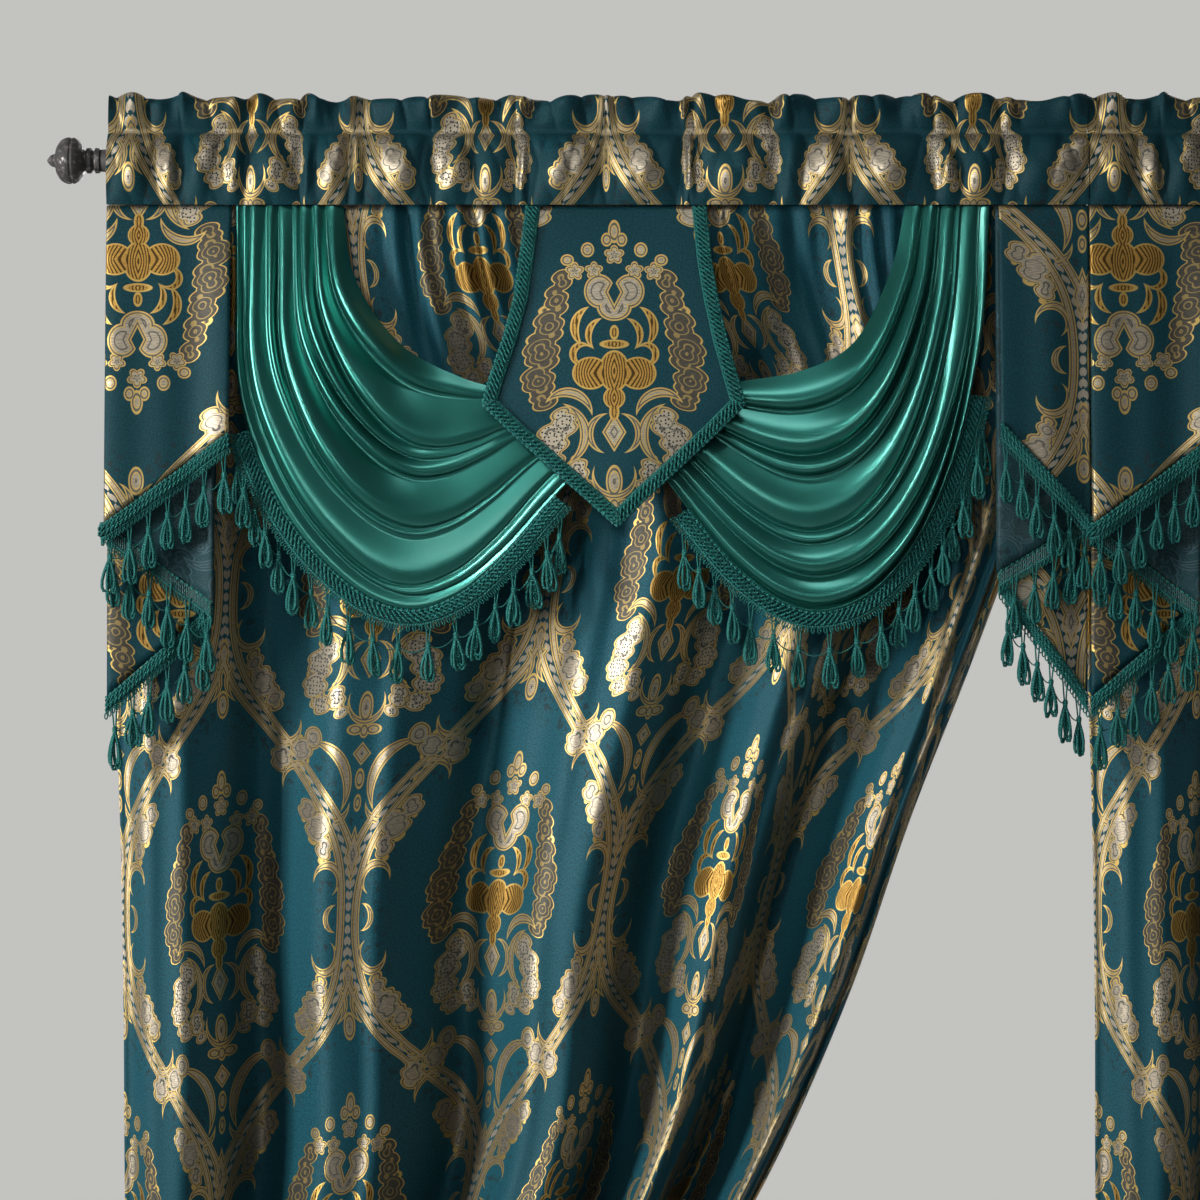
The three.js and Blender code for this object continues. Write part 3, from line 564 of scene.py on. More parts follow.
def sew_tape(weave, edge, hang, face, width, looped):
    """A woven tape on an edge: a bead cord, two plaits and a lower cord, with loops under it."""
    run = lengths(edge)

    def station(step):
        at = np.linspace(0, run[-1], max(4, int(run[-1] / step)))
        down, out = (unit(read_at(at, run, rows)) for rows in (hang, face))
        return at, read_at(at, run, edge), down, out

    at, line, down, out = station(3.0)
    ground = np.stack([line + down * width * s + out * 0.4 for s in (0.0, 0.5, 1.0)])
    weave.cloth(ground, np.stack([together(at, TAPE_GROUND_SHADE_MARK)] * 3), facing=out.mean(axis=0))
    at, line, down, out = station(1.3)
    bead = 1.6 + 0.8 * np.sin(TURN * at / 5.6)
    weave.cords((line + down * 1.6 + out * 1.2)[None], down[None], bead[None], 5)
    at, line, down, out = station(2.0)
    for across in (0.36, 0.66):
        for phase in (0.0, math.pi):
            turn = TURN * at / 10.0 + phase
            sway = down * (width * across + 2.3 * np.sin(turn))[:, None]
            rise = out * (2.1 + 1.5 * np.cos(turn))[:, None]
            weave.cords((line + sway + rise)[None], out[None], 1.25, 4)
    at, line, down, out = station(2.4)
    weave.cords((line + down * (width - 1.4) + out * 1.0)[None], down[None], 1.3, 5)
    if looped:
        at, line, down, out = (rows[:, None] for rows in station(4.4))
        bend = np.linspace(0, TURN, 7)
        reach = ((width - 1.0) + 3.1 * (1 - np.cos(bend)))[:, None]
        aside = (1.5 * np.sin(bend))[:, None]
        centres = line + down * reach + unit(np.cross(down, out)) * aside
        weave.cords(centres + out * 0.8, out, 0.7, 4)


def hang_tassels(weave, roots, swing, seed):
    """Looped tassels, each on a twin cord with a bound neck, and slack threads between necks."""
    rng = np.random.default_rng(seed)
    count = len(roots)
    stretch = rng.uniform(0.93, 1.07, (count, 1))
    lean = rng.normal(0, 0.035, (count, 1))

    def spot(side, deep, drop):
        """Points of every tassel, [tassel, station], at side, depth and drop distances."""
        drop = drop * stretch
        x = roots[:, None, 0] + side + lean * drop
        y = roots[:, None, 1] + deep + swing[:, None] * np.minimum(1, drop / 38.0)
        return together(x, y, roots[:, None, 2] - drop)

    t = np.linspace(0, 1, 5)
    for way in (-1, 1):
        weave.cords(spot(way * lerp(2.4, 0.7, t), 0.0, lerp(-3.0, 19.0, t)), FRONT, 0.75, 4)
    drop, neck = np.asarray(TASSEL_NECK).T
    weave.cords(spot(0.0, 0.0, drop), (1, 0, 0), neck[None], 7)
    t = np.linspace(0, TURN, 14)
    body = (1 - np.cos(t)) / 2
    for angle, wide, long, splay in TASSEL_LOOPS:
        turn = angle + rng.uniform(-0.25, 0.25, (count, 1))
        reach = wide * np.sin(t) * body**0.55 * rng.uniform(0.75, 1.15, (count, 1))
        aside = (splay + rng.uniform(-0.06, 0.06, (count, 1))) * long * body
        deep = reach * np.sin(turn) * 0.8
        centres = spot(reach * np.cos(turn) + aside, deep, 21.0 + long * body)
        weave.cords(centres, together(np.sin(turn), -np.cos(turn), 0.0), 1.5, 4)
    necks = spot(0.0, 0.0, np.array([19.5]))
    t = np.linspace(0, 1, 9)[:, None]
    sag = np.array(DOWN) * (4 * t * (1 - t)) * 6.5
    weave.cords(necks[:-1] * (1 - t) + necks[1:] * t + sag, FRONT, 0.6, 4)


def tassel_places(length, pitch):
    count = round(length / pitch)
    return (length - (count - 1) * pitch) / 2 + np.arange(count) * pitch


def swag_fringe(swag, pitch, seed):
    weave = Weave()
    fine = np.linspace(0, 1, 801)
    points, _ = edge_curve(swag["lower"], fine)
    top, until = swag["tape"]
    along = np.linspace(fine[np.argmax(points[:, 1] <= top)], until, 300)
    points, _ = edge_curve(swag["lower"], along)
    tangent = unit(np.gradient(points, axis=0))
    hang = together(tangent[:, 1], 0.0, -tangent[:, 0]) * -swag["outward"]
    edge = together(points[:, 0], swag_depth(along, 0.0) - 1.0, points[:, 1]) - hang
    sew_tape(weave, edge, hang, np.broadcast_to(FRONT, edge.shape), FRINGE_TAPE, True)
    run = lengths(edge)
    places = tassel_places(run[-1], pitch)
    swing = np.where(np.arange(len(places)) % 2, -TASSEL_SWING, TASSEL_SWING)
    hang_tassels(weave, read_at(places, run, edge + hang * TASSEL_ROOT), swing, seed)
    return weave


def cascade_fringe(hem, pitch, seed):
    weave = Weave()
    x, low, layer = cascade_path(hem, 40, 13)
    edge = together(x, cascade_depth(x, layer, 1.0), low - 0.5)
    hang = np.broadcast_to(DOWN, edge.shape)
    face = np.cross(unit(np.gradient(edge, axis=0) * (1, 1, 0)), hang)
    if face[0, 1] > 0:
        face = -face
    edge = edge + face
    sew_tape(weave, edge, hang, face, FRINGE_TAPE, True)
    for i in range(len(hem)):
        on = edge[layer == i]
        run = lengths(on)
        places = tassel_places(run[-1], pitch)
        roots = read_at(places, run, on) - (0, 0, TASSEL_ROOT)
        hang_tassels(weave, roots, np.zeros(len(places)), seed + i)
    return weave


def shield_braid():
    weave = Weave()
    outline = np.asarray(SHIELD_OUTLINE, float)
    corners = np.concatenate([outline[:-1, [1, 0]], [SHIELD_POINT], outline[-2::-1, [2, 0]]])
    run = lengths(corners)
    path = read_at(np.linspace(0, run[-1], 420), run, corners)
    for _ in range(3):
        path[1:-1] = (path[:-2] + 2 * path[1:-1] + path[2:]) / 4
    tangent = unit(np.gradient(path, axis=0))
    inward = together(-tangent[:, 1], 0.0, tangent[:, 0])
    inner = path + inward[:, [0, 2]] * SHIELD_TAPE / 2
    depth = np.minimum(shield_depth(*path.T), shield_depth(*inner.T))
    edge = together(path[:, 0], depth - 1.6, path[:, 1]) - inward * 0.8
    sew_tape(weave, edge, inward, np.broadcast_to(FRONT, edge.shape), SHIELD_TAPE, False)
    return weave


def turned_form(profile, start, way, sides=56):
    """A lathe-turned form round the rod's axis, as rings of points along it."""
    profile = np.asarray(profile, float)
    knots = lengths(profile)
    along, radius = splines(knots, profile, np.linspace(0, knots[-1], 150), level=True).T
    weave = Weave()
    centres = together(start + way * along, 0.0, 0.0)
    ends = centres[:1] - (way * 0.01, 0, 0), centres[-1:] + (way * 0.3, 0, 0)
    radius = np.concatenate([[0.01], np.maximum(radius, 0.4), [0.01]])
    centres = np.concatenate([ends[0], centres, ends[1]])
    weave.cords(centres[None], (0, 0, 1), radius[None], sides)
    return weave


# Shader building

def maths(operation):
    """A method that makes one shader maths node of a socket and the values given to it."""
    return lambda self, *others: self.math(operation, self, *others)


class Socket:
    """A shader value that Python's operators work on."""

    __add__ = __radd__ = maths("ADD")
    __sub__ = maths("SUBTRACT")
    __mul__ = __rmul__ = maths("MULTIPLY")
    __abs__ = maths("ABSOLUTE")
    __lt__ = maths("LESS_THAN")
    sin, cos, angle = maths("SINE"), maths("COSINE"), maths("ARCTAN2")
    least, most = maths("MINIMUM"), maths("MAXIMUM")
    times_plus = maths("MULTIPLY_ADD")

    def __init__(self, shader, socket):
        self.shader, self.socket = shader, socket

    def math(self, operation, *values):
        sockets = dict(enumerate(values))
        return self.shader.node("ShaderNodeMath", {"operation": operation}, sockets)

    def __rsub__(self, other):
        return self.math("SUBTRACT", other, self)

    def wrap(self, low, high):
        return self.math("WRAP", self, high, low)

    def fade(self, start, end, kind="SMOOTHSTEP"):
        """0 at start and before it, 1 at end and past it."""
        values = {"Value": self, "From Min": start, "From Max": end}
        return self.shader.node("ShaderNodeMapRange", {"interpolation_type": kind}, values)


class Shader:
    """The nodes of one material or world, made by expressions."""

    def __init__(self, owner):
        self.owner = owner
        owner.use_nodes = True
        self.tree = owner.node_tree
        self.tree.nodes.clear()

    def node(self, kind, settings, sockets, output=0):
        made = self.tree.nodes.new(kind)
        for key, value in settings.items():
            setattr(made, key, value)
        for key, value in sockets.items():
            if isinstance(value, Socket):
                self.tree.links.new(value.socket, made.inputs[key])
            else:
                made.inputs[key].default_value = value
        return Socket(self, made.outputs[output]) if made.outputs else None

    def vector(self, operation, *values, output=0):
        sockets = dict(enumerate(values))
        return self.node("ShaderNodeVectorMath", {"operation": operation}, sockets, output)

    def marks(self):
        """Place on the flat cloth, in millimetres."""
        flat = self.node("ShaderNodeUVMap", {"uv_map": "Cloth"}, {})
        settings = {"operation": "SCALE"}
        return self.node("ShaderNodeVectorMath", settings, {0: flat, "Scale": 1 / MM})

    def place(self, kind="Object"):
        return self.node("ShaderNodeTexCoord", {}, {}, output=kind)

    def split(self, vector):
        made = self.node("ShaderNodeSeparateXYZ", {}, {0: vector}).socket.node
        return Socket(self, made.outputs[0]), Socket(self, made.outputs[1])

    def join(self, x, y):
        return self.node("ShaderNodeCombineXYZ", {}, {0: x, 1: y, 2: 0.0})

    def mix(self, share, a, b):
        return self.node("ShaderNodeMix", {"data_type": "RGBA"}, {0: share, 6: a, 7: b}, output=2)

    def noise(self, place, scale, detail=2.0, dimensions="2D"):
        sockets = {"Vector": place, "Scale": scale, "Detail": detail}
        return self.node("ShaderNodeTexNoise", {"noise_dimensions": dimensions}, sockets)

    def stretch(self, place, x, y, turn=0.0):
        """The same place in units that are x by y across and turned."""
        sockets = {"Vector": place, "Rotation": (0, 0, turn), "Scale": (x, y, 1.0)}
        return self.node("ShaderNodeMapping", {"vector_type": "TEXTURE"}, sockets)

    def spot(self, place, x, y, wide=1.0, tall=1.0):
        """The same place, measured from a point, in half widths and half heights of a shape."""
        scale, shift = (1 / wide, 1 / tall, 0), (-x / wide, -y / tall, 0)
        return self.vector("MULTIPLY_ADD", place, scale, shift)

    def far(self, vector):
        return self.vector("LENGTH", vector, output="Value")

    def oval(self, place, x, y, wide, tall):
        """About how far a place is from the edge of an oval, negative inside it."""
        far = self.far(self.spot(place, x, y, wide, tall))
        size = min(wide, tall)
        return far.times_plus(size, -size)

    def diamond(self, place, x, y, wide, tall):
        corner = self.vector("ABSOLUTE", self.spot(place, x, y, wide, tall))
        far = self.vector("DOT_PRODUCT", corner, (1.0, 1.0, 0.0), output="Value")
        size = wide * tall / math.hypot(wide, tall)
        return far.times_plus(size, -size)

    def flower(self, place, x, y, radius):
        """A flower of five petals."""
        spot = self.spot(place, x, y)
        across, up = self.split(spot)
        petal = abs((across.angle(up) * 2.5).cos())
        return self.far(spot) - petal.times_plus(radius * 0.36, radius * 0.64)

    def scroll(self, place, x, y, radius, half, turn, reach):
        """A crescent round a point: thickest on its turned side, gone at its reach from there."""
        turn, reach = math.radians(turn), math.radians(reach)
        outer, inner = radius + half, radius - half
        aside = 2 * radius * half / (inner - outer * math.cos(reach))
        hollow = self.spot(place, x - aside * math.cos(turn), y - aside * math.sin(turn))
        return (self.far(self.spot(place, x, y)) - outer).most(inner + aside - self.far(hollow))

    def shapes(self, place, maker, table):
        """How far a place is from the nearest of a table's shapes."""
        nearest = maker(place, *table[0])
        for row in table[1:]:
            nearest = nearest.least(maker(place, *row))
        return nearest

    def finish(self, sockets, bump=None, strength=0.0, distance=0.0):
        if bump is not None:
            values = {"Height": bump, "Strength": strength, "Distance": distance}
            sockets["Normal"] = self.node("ShaderNodeBump", {}, values)
        surface = self.node("ShaderNodeBsdfPrincipled", {}, sockets)
        self.node("ShaderNodeOutputMaterial", {}, {"Surface": surface})
        return self.owner


def tone(colour, *amounts):
    """A colour times one amount, or an amount each for red, green and blue."""
    amounts = amounts if len(amounts) == 3 else amounts * 3
    return tuple(min(1.0, c * amount) for c, amount in zip(colour, amounts)) + (1.0,)


# Damask: one half of its repeat, in millimetres from the medallion's middle.
# Ovals and diamonds: x, y, half width, half height. Flowers: x, y, radius.
# Scrolls: x, y, radius, half width, direction of the thickest place, reach to each side of it.
REPEAT_WIDE, REPEAT_TALL = 343.0, 613.0
URN_SCROLLS = ((31, 13, 7.5, 3.2, 18, 127), (22, 38, 15, 4, 9, 75), (12, 31, 12, 3, 15, 75))
URN_OVALS = (
    (0, -3, 14, 19), (22, -5, 17, 15), (0, 22, 13, 4), (0, 33, 4, 6.5), (0, -28, 10, 10),
    (0, -41, 4.5, 8),
)
CROWN_FLOWERS = ((0, 107, 9.5), (19, 92, 8.5), (37, 91, 9))
CROWN_OVALS = (
    (0, 130, 5.5, 11), (7, 122, 5, 6.5), (25, 112, 6, 7), (44, 102, 6, 5.4), (14, 72, 14, 16),
    (0, 57, 16, 13),
)
CROWN_EYE = (0, 71, 6, 12)
ACANTHUS_SCROLLS = (
    (51, -62, 24, 4.5, 178, 80), (8, -61, 15, 3.2, 5, 88), (43, -41, 18, 4.5, 105, 82),
)
ACANTHUS_OVALS = (
    (47, -51, 11, 12), (57, -66, 13, 13), (61, -86, 13, 13), (53, -103, 10, 8), (34, -96, 8, 11),
    (28, -109, 6, 6),
)
WING_OVALS = (
    (49, 82, 7, 9), (54, 63, 9, 13), (61, 40, 12, 15), (68, 14, 15, 17), (71, -12, 14, 14),
    (66, -31, 10, 8),
)
SPINE_DIAMONDS = ((0, -31, 8, 14), (0, -60, 11, 18), (0, -150, 10, 11), (0, -246, 9, 27))
SPINE_OVALS = (
    (0, -106, 7.5, 15), (0, -128, 5, 7), (10, -127, 9, 5), (0, -174, 5, 9.5), (0, -197, 4, 8),
    (59, -136, 11, 11), (0, 204, 7, 13), (0, 252, 6, 14),
)
SPINE_SCROLLS = (
    (0, -102, 17.5, 3.2, -90, 115), (49, -178, 34, 6, 145, 75), (27, -200, 14, 3.8, 270, 100),
    (27, -250, 12, 3.6, 92, 90), (22, 226, 17, 3.6, 165, 85),
)
HEAD_OVALS = ((126, 86, 14, 14), (111, 101, 10, 10), (136, 67, 8, 11), (73, 149, 12, 12))
HEAD_SCROLLS = ((143, 38, 13, 4, 65, 125), (154, 0, 10, 3, 180, 95), (94, 128, 15, 4, 90, 112))
REVERSE_GROUND, REVERSE_YARN = (0.009, 0.038, 0.046), (0.022, 0.05, 0.056)
REVERSE_LINE = (0.03, 0.052, 0.052)


def jacquard(name, settings, ground, reverse=False):
    """Damask cloth: teal ground, silver and gold motifs in ogee frames, fine gold outlines."""
    s = Shader(bpy.data.materials.new(name))
    flat = s.marks()
    u, v = s.split(flat)
    half_wide, half_tall = REPEAT_WIDE / 2, REPEAT_TALL / 2
    x = abs(u.wrap(-half_wide, half_wide))
    y = v.wrap(-half_tall, half_tall)
    swing = (y * (TURN / REPEAT_TALL)).cos()
    edge = swing * (1.3 - swing * swing * 0.3) * (half_wide / 2) + half_wide / 2
    own = x < edge
    far_x = half_wide - x
    far_y = (y + half_tall).wrap(-half_tall, half_tall)
    across = far_x + (x - far_x) * own
    up = far_y + (y - far_y) * own
    rim = abs(edge - x)
    place, folded = s.join(across, up), s.join(across, abs(up))
    lobes = abs((up * 0.27 + across * 0.12).sin()) * 3.0

    gold = s.shapes(place, s.scroll, URN_SCROLLS).least(s.shapes(place, s.oval, URN_OVALS))
    leaves = s.shapes(place, s.oval, ACANTHUS_OVALS) - lobes
    silver = s.shapes(place, s.oval, CROWN_OVALS).most(s.diamond(place, *CROWN_EYE) * -1.0)
    for shape in (
        s.shapes(place, s.flower, CROWN_FLOWERS),
        s.shapes(place, s.diamond, SPINE_DIAMONDS),
        s.shapes(place, s.oval, SPINE_OVALS),
        s.shapes(place, s.scroll, ACANTHUS_SCROLLS + SPINE_SCROLLS),
        leaves,
        s.shapes(folded, s.scroll, HEAD_SCROLLS),
        s.shapes(folded, s.oval, HEAD_OVALS) - lobes,
        abs(rim - 8.8) - 4.3,
    ):
        silver = silver.least(shape)
    wings = s.shapes(place, s.oval, WING_OVALS) - lobes
    bright = silver.least(gold)
    whole = bright.least(wings)

    in_bright, in_gold, in_wing = (d.fade(0.4, -0.4) for d in (bright, gold, wings))
    in_wing = in_wing * (1 - in_bright)
    rims = [abs(distance + 0.4).fade(0.85, 0.4) for distance in (whole, bright)]
    inner = abs(bright + 2.9).fade(0.6, 0.3) * (1 - in_gold)
    groove = abs(bright + 1.7).least(abs(bright + 6.6)).fade(0.75, 0.45) * 0.7
    stripe = abs((across * 0.27 + gold * 0.16).wrap(-0.5, 0.5)).fade(0.29, 0.13)
    stripe = stripe * gold.fade(-1.2, -1.7)
    vein = abs((wings * (1 / 5.4)).wrap(-0.5, 0.5)).fade(0.16, 0.08) * in_wing
    bead = s.far(s.join((up * (1 / 11.0)).wrap(-0.5, 0.5) * 2.5, rim * (1 / 3.4)))
    beads = bead.fade(1.05, 0.85)
    cells = {"Vector": flat, "Scale": 0.26, "Randomness": 0.55}
    seeds = s.node("ShaderNodeTexVoronoi", {"voronoi_dimensions": "2D"}, cells)
    seeds = seeds.fade(0.27, 0.18) * leaves.fade(-2.6, -3.4)
    sprig = s.noise(flat, 0.13).fade(0.58, 0.62) * rim.fade(60, 20) * whole.fade(3.0, 5.0)

    weft = s.noise(s.stretch(flat, 7.0, 0.8), 1.0, 1.0)
    warp = s.noise(s.stretch(flat, 0.55, 5.0, 0.12), 1.0, 1.0)
    speck = s.noise(flat, 0.6, 1.0).fade(0.3, 0.7)
    thread = weft.fade(0.25, 0.75)

    yarn, shine = settings.silver_colour, settings.gold_colour
    wing_share, stripe_tone, dark_tone, metal_share, polish = 0.9, 0.15, 0.3, 0.7, 0.17
    if reverse:
        ground, yarn, shine = REVERSE_GROUND, REVERSE_YARN, REVERSE_LINE
        wing_share, stripe_tone, dark_tone, metal_share, polish = 0.35, 0.8, 0.7, 0.25, 0.02
    dark = seeds.most(groove * in_bright * (1 - in_gold))
    line = rims[0].most(rims[1]).most(inner).most(vein * 0.45)
    base = s.mix(warp * 0.45 + speck * 0.55, tone(ground, 0.5), tone(ground, 1.5))
    for share, colour in (
        (sprig * 0.6, tone(yarn, 0.05)),
        (in_wing * wing_share, s.mix(weft, tone(yarn, 0.08), tone(yarn, 0.3))),
        (in_bright, s.mix(thread, tone(yarn, 0.62), tone(yarn, 1.15))),
        (leaves.fade(0.0, -2.0) * 0.5, tone(yarn, 1.5)),
        (in_gold, s.mix(thread, tone(shine, 0.75), tone(shine, 1.1))),
        (stripe, tone(shine, stripe_tone)),
        (dark, tone(ground, dark_tone)),
        (beads, tone(yarn, 0.9)),
        (line, tone(shine, 1.12, 1.36, 1.65)),
    ):
        base = s.mix(share, base, colour)
    metal = (in_bright * (1 - dark)).most(line).most(beads * 0.7).most(in_wing * 0.5)
    sockets = {
        "Base Color": base,
        "Metallic": metal * metal_share + 0.1,
        "Roughness": weft * 0.1 + 0.52 - metal * polish,
        "Specular IOR Level": 0.16,
        "Sheen Weight": 0.03,
        "Sheen Roughness": 0.4,
        "Sheen Tint": (0.5, 0.8, 0.9, 1.0),
    }
    return s.finish(sockets, warp + weft, 0.35, 0.0005)


def satin(name, settings):
    """Glossy satin, its float threads along the swag."""
    s = Shader(bpy.data.materials.new(name))
    flat = s.marks()
    floats = s.noise(s.stretch(flat, 9.0, 0.5), 1.0, 1.0)
    cloud = s.noise(flat, 0.02)
    colour = settings.satin_colour
    base = s.mix(floats, tone(colour, 0.92, 0.93, 0.93), tone(colour, 1.06, 1.05, 1.05))
    base = s.mix(cloud.fade(0.4, 0.7) * 0.3, base, tone(colour, 0.75, 0.85, 0.85))
    return s.finish({
        "Base Color": base,
        "Metallic": 0.85,
        "Roughness": floats * 0.04 + 0.28,
        "Specular IOR Level": 0.5,
        "Coat Weight": 0.45,
        "Coat Roughness": 0.21,
    })


def rayon(name, settings):
    """Twisted rayon yarn of the braid, cords and tassels, with painted shade and light along the
    twist and painted shade on the tape's ground between the cords.
    """
    s = Shader(bpy.data.materials.new(name))
    flat = s.marks()
    u, v = s.split(flat)
    twist = (u * 2.6 + v * 0.628).sin()
    fibre = s.noise(s.stretch(flat, 1.4, 0.6), 1.0)
    cloud = s.noise(flat, 0.05)
    colour = settings.trim_colour
    # Painted shade in the twist's grooves and painted light on its ridges, following the twist's
    # bump.
    base = s.mix(twist.fade(-1, 1), tone(colour, 0.45, 0.5, 0.52), tone(colour, 1.3, 1.25, 1.25))
    base = s.mix(fibre.fade(0.4, 0.75) * 0.5, base, tone(colour, 1.8, 1.6, 1.6))
    base = s.mix(cloud.fade(0.45, 0.7) * 0.35, base, tone(colour, 0.5, 0.55, 0.6))
    # Painted shade: the tape's ground, marked below -1, is painted darker as the shade between the
    # cords.
    base = s.mix(v.fade(-1, -2), base, tone(colour, 0.36, 0.36, 0.4))
    sockets = {"Base Color": base, "Roughness": fibre * 0.2 + 0.4, "Specular IOR Level": 0.3}
    return s.finish(sockets, twist + fibre, 0.5, 0.0006)


def pewter(name, settings, rubbed):
    """Dark pewter paint, mottled, and rubbed lighter on the finials."""
    s = Shader(bpy.data.materials.new(name))
    where = s.place()
    mottle = s.noise(where, 220.0, 4.0, "3D")
    speck = s.noise(where, 900.0, 2.0, "3D")
    worn = mottle.fade(0.5, 0.66)
    colour = settings.metal_colour
    base = s.mix(speck, tone(colour, 0.6), tone(colour, 1.3))
    base = s.mix(worn * rubbed, base, tone(colour, 3.0, 2.95, 2.9))
    sockets = {
        "Base Color": base,
        "Metallic": worn * 0.4 + 0.45,
        "Roughness": 0.62 - worn * 0.2 + speck * 0.1,
        "Specular IOR Level": 0.4,
    }
    return s.finish(sockets, mottle + speck * 0.5, 0.5, 0.0008)


def plain_floor(name):
    s = Shader(bpy.data.materials.new(name))
    cloud = s.noise(s.place(), 1.3, 3.0, "3D")
    base = s.mix(cloud, (0.72, 0.725, 0.715, 1), (0.78, 0.78, 0.77, 1))
    return s.finish({"Base Color": base, "Roughness": cloud * 0.1 + 0.6})


def studio_room(name):
    """Even light all round, darker on the camera's side."""
    s = Shader(bpy.data.worlds.new(name))
    _, y = s.split(s.place("Generated"))
    colour = s.mix(y.fade(0.0, 0.75, "LINEAR"), ROOM_FRONT, ROOM_BACK)
    light = s.node("ShaderNodeBackground", {}, {"Color": colour})
    s.node("ShaderNodeOutputWorld", {}, {"Surface": light})
    return s.owner


# Settings

def colour_setting(name, description, default):
    return FloatVectorProperty(
        name=name, description=description, subtype="COLOR", default=default, min=0, max=1,
    )


def size_setting(name, description, default, least, most):
    return FloatProperty(
        name=name, description=description, default=default, min=least, max=most,
        subtype="DISTANCE", unit="LENGTH",
    )


class CurtainSettings(PropertyGroup):
    ground_colour: colour_setting(
        "Ground", "Colour of the jacquard's ground weave", (0.007, 0.062, 0.085))
    # Painted shade: the valance's ground is the panel's ground painted darker.
    valance_shade_colour: colour_setting(
        "Valance ground painted shade", "Colour of the valance's ground, the panel's ground painted darker as shade", (0.003, 0.037, 0.049))
    silver_colour: colour_setting(
        "Silver yarn", "Colour of the motifs' taupe-silver yarn", (0.354, 0.312, 0.244))
    gold_colour: colour_setting(
        "Gold yarn", "Colour of the gold yarn and of the outlines", (0.43, 0.25, 0.062))
    satin_colour: colour_setting(
        "Satin", "Colour of the swags' satin", (0.021, 0.184, 0.152))
    trim_colour: colour_setting(
        "Trim", "Colour of the braid and tassels", (0.007, 0.118, 0.106))
    metal_colour: colour_setting(
        "Metal", "Colour of the rod's and finials' paint", (0.075, 0.072, 0.072))
    tassel_pitch: size_setting(
        "Tassel spacing", "Distance from one tassel to the next", 0.022, 0.018, 0.05)
    cloth_thickness: size_setting(
        "Cloth thickness", "Thickness of the jacquard cloth", 0.0009, 0.0003, 0.002)


def finish_of(kind):
    """One shared material for each finish, made when it is first needed."""
    settings = bpy.context.scene.curtain_settings
    makers = {
        "Panel jacquard": (jacquard, settings.ground_colour),
        # The valance pieces use the same damask with its ground painted darker, as painted shade.
        "Valance jacquard": (jacquard, settings.valance_shade_colour),
        "Jacquard reverse": (jacquard, settings.ground_colour, True),
        "Satin": (satin,),
        "Rayon trim": (rayon,),
        "Pewter rod": (pewter, 0.35),
        "Pewter finial": (pewter, 1.0),
    }
    maker, *values = makers[kind]
    return bpy.data.materials.get(kind) or maker(kind, settings, *values)


def cloth_piece(name, points, marks, offset, face):
    """A cloth piece: damask has a thickness and a reverse, satin is one layer."""
    weave = Weave()
    weave.cloth(points, marks)
    if face == "Satin":
        return weave.piece(f"Cloth_{name}", name, "satin", [finish_of(face)], offset)
    sides = [finish_of(face), finish_of("Jacquard reverse")]
    thickness = bpy.context.scene.curtain_settings.cloth_thickness / MM
    return weave.piece(f"Cloth_{name}", name, "jacquard", sides, offset, thickness)


def sewn_piece(kind, cloth, face, trim, edging):
    """A valance piece with its trim on both curtains, each a sheet sewn to the heading."""
    points, marks = cloth
    area = cloth_area(points)
    for side, offset in OFFSETS.items():
        made = cloth_piece(f"{side}_{kind}", points, marks, offset, face)
        node = f"{side}_{kind}_{edging}"
        sewn = trim.piece(f"Trim_{node}", node, "trim", [finish_of("Rayon trim")], offset)


# Operators

class CURTAIN_OT_rod(Operator):
    """Makes the rod and its two finials"""

    bl_idname = "curtain.rod"
    bl_label = "Rod and Finials"

    def execute(self, context):
        weave = turned_form(ROD_PROFILE, -ROD_HALF, 1, sides=40)
        weave.piece("Rod_bar", "rod", "rod", [finish_of("Pewter rod")])
        for side, way in (("left", -1), ("right", 1)):
            weave = turned_form(FINIAL_PROFILE, way * (ROD_HALF + FINIAL_GAP), way)
            finish = [finish_of("Pewter finial")]
            weave.piece(f"Finial_{side}", f"finial_{side}", "finial", finish)
        return {"FINISHED"}


class CURTAIN_OT_headings(Operator):
    """Makes each curtain's gathered rod pocket with its ruffle"""

    bl_idname = "curtain.headings"
    bl_label = "Headings"

    def execute(self, context):
        points, marks = heading_cloth()
        top = len(points) // 2
        for side, offset in OFFSETS.items():
            weave = Weave()
            weave.cloth(points[:top], marks[:top])
            weave.cloth(points[top - 1:], marks[top - 1:], BACK)
            name, finish = f"{side}_heading", [finish_of("Valance jacquard")]
            made = weave.piece(f"Cloth_{name}", name, "jacquard", finish, offset)
        return {"FINISHED"}


class CURTAIN_OT_panels(Operator):
    """Makes each curtain's long panel and the band that ties it back"""

    bl_idname = "curtain.panels"
    bl_label = "Panels and Ties"

    def execute(self, context):
        points, marks = panel_cloth()
        tie_points, tie_marks = tie_cloth()
        quarter = tie_points.shape[1] // 4
        for side, offset in OFFSETS.items():
            made = cloth_piece(f"{side}_panel", points, marks, offset, "Panel jacquard")
            weave = Weave()
            for i, facing in enumerate(((1, 1, 0), (-1, 1, 0), (-1, -1, 0), (1, -1, 0))):
                arc = slice(i * quarter, (i + 1) * quarter + 1)
                weave.cloth(tie_points[:, arc], tie_marks[:, arc], facing)
            sides = [finish_of("Panel jacquard"), finish_of("Jacquard reverse")]
            name = f"{side}_tie"
            band = weave.piece(f"Cloth_{name}", name, "jacquard", sides, offset, BAND_THICKNESS)
        return {"FINISHED"}


class CURTAIN_OT_swags(Operator):
    """Makes the satin swags and their tassel fringe"""

    bl_idname = "curtain.swags"
    bl_label = "Swags"

    def execute(self, context):
        pitch = context.scene.curtain_settings.tassel_pitch / MM
        for name, swag in SWAGS.items():
            cloth, trim = swag_cloth(swag), swag_fringe(swag, pitch, FRINGE_SEEDS[name])
            sewn_piece(name, cloth, "Satin", trim, "fringe")
        return {"FINISHED"}


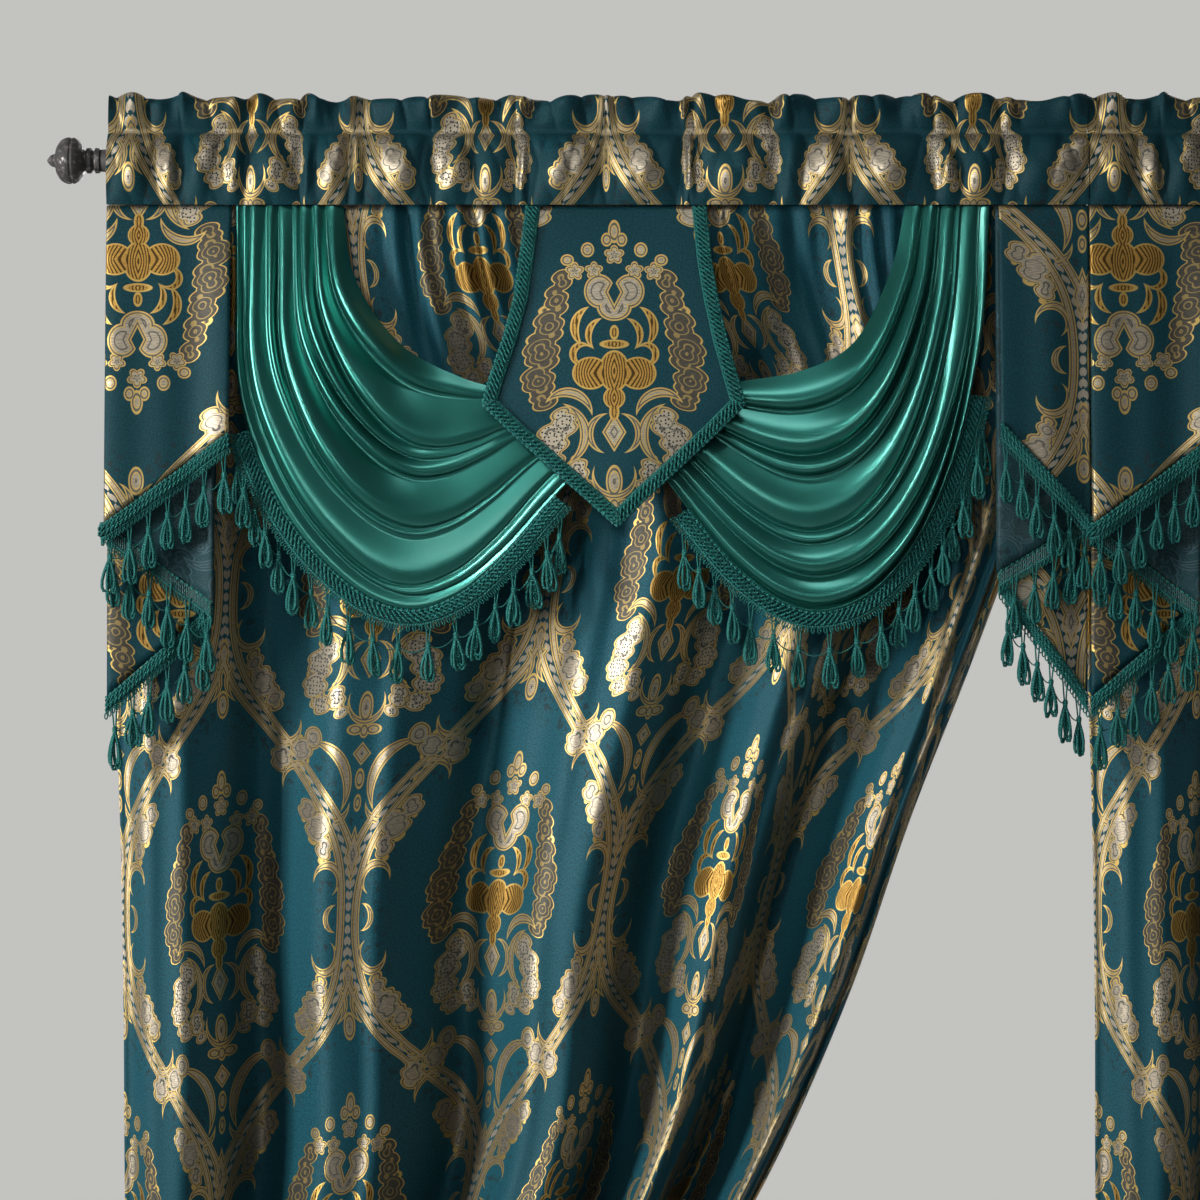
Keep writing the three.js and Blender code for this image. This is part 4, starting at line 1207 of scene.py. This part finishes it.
class CURTAIN_OT_shields(Operator):
    """Makes the pointed shields and the braid along their edges"""

    bl_idname = "curtain.shields"
    bl_label = "Shields"

    def execute(self, context):
        cloth, trim = shield_cloth(), shield_braid()
        sewn_piece("shield", cloth, "Valance jacquard", trim, "braid")
        return {"FINISHED"}


class CURTAIN_OT_cascades(Operator):
    """Makes the folded side cascades and their tassel fringe"""

    bl_idname = "curtain.cascades"
    bl_label = "Cascades"

    def execute(self, context):
        pitch = context.scene.curtain_settings.tassel_pitch / MM
        for name, hem in CASCADES.items():
            cloth, trim = cascade_cloth(hem, name), cascade_fringe(hem, pitch, FRINGE_SEEDS[name])
            sewn_piece(name, cloth, "Valance jacquard", trim, "fringe")
        return {"FINISHED"}


class CURTAIN_OT_stage(Operator):
    """Sets the floor, the studio light and the camera"""

    bl_idname = "curtain.stage"
    bl_label = "Stage"

    def execute(self, context):
        scene = context.scene

        def put(name, data, place=(0, 0, 0), turn=(0, 0, 0)):
            made = bpy.data.objects.new(name, data)
            made.location, made.rotation_euler = place, turn
            scene.collection.objects.link(made)
            return made

        mesh = bpy.data.meshes.new("Floor")
        around = np.arange(FLOOR_SIDES) * TURN / FLOOR_SIDES
        rim = together(FLOOR_RADIUS * np.cos(around), FLOOR_RADIUS * np.sin(around), FLOOR_HEIGHT)
        mesh.from_pydata(rim.tolist(), [], [tuple(range(FLOOR_SIDES))])
        mesh.materials.append(plain_floor("Plain floor"))
        put("Floor", mesh)
        scene.world = studio_room("Studio")
        for name, place, aim, size, power, spread, colour in SOFTBOXES:
            lamp = bpy.data.lights.new(name, "AREA")
            lamp.shape = "RECTANGLE"
            lamp.size, lamp.size_y = size
            lamp.energy = power
            lamp.color = colour
            lamp.spread = math.radians(spread)
            x, y, z = np.subtract(aim, place)
            tilt, pan = math.atan2(math.hypot(x, y), -z), math.atan2(y, x) - math.pi / 2
            put(name, lamp, place, (tilt, 0, pan))

        camera = bpy.data.cameras.new("Camera")
        camera.sensor_width = 36
        camera.lens = CAMERA_LENS
        camera.clip_end = 50
        scene.camera = put("Camera", camera, CAMERA_PLACE, (math.pi / 2, 0, 0))
        scene.view_settings.view_transform = "Standard"
        scene.cycles.max_bounces = 1
        scene.cycles.diffuse_bounces = 1
        scene.cycles.glossy_bounces = 1
        return {"FINISHED"}


class CURTAIN_PT_sidebar(Panel):
    bl_idname = "CURTAIN_PT_sidebar"
    bl_label = "Curtains"
    bl_space_type = "VIEW_3D"
    bl_region_type = "UI"
    bl_category = "Curtains"

    def draw(self, context):
        layout = self.layout
        settings = context.scene.curtain_settings
        for name in settings.__annotations__:
            layout.prop(settings, name)
        for operator in OPERATORS:
            layout.operator(operator.bl_idname)


OPERATORS = (
    CURTAIN_OT_stage,
    CURTAIN_OT_rod,
    CURTAIN_OT_headings,
    CURTAIN_OT_panels,
    CURTAIN_OT_swags,
    CURTAIN_OT_shields,
    CURTAIN_OT_cascades,
)
CLASSES = (CurtainSettings, *OPERATORS, CURTAIN_PT_sidebar)


def register():
    for made in CLASSES:
        bpy.utils.register_class(made)
    bpy.types.Scene.curtain_settings = PointerProperty(type=CurtainSettings)


def unregister():
    del bpy.types.Scene.curtain_settings
    for made in reversed(CLASSES):
        bpy.utils.unregister_class(made)


def main():
    register()
    bpy.ops.curtain.stage()
    bpy.ops.curtain.rod()
    bpy.ops.curtain.headings()
    bpy.ops.curtain.panels()
    bpy.ops.curtain.swags()
    bpy.ops.curtain.shields()
    bpy.ops.curtain.cascades()


if __name__ == "__main__":
    main()
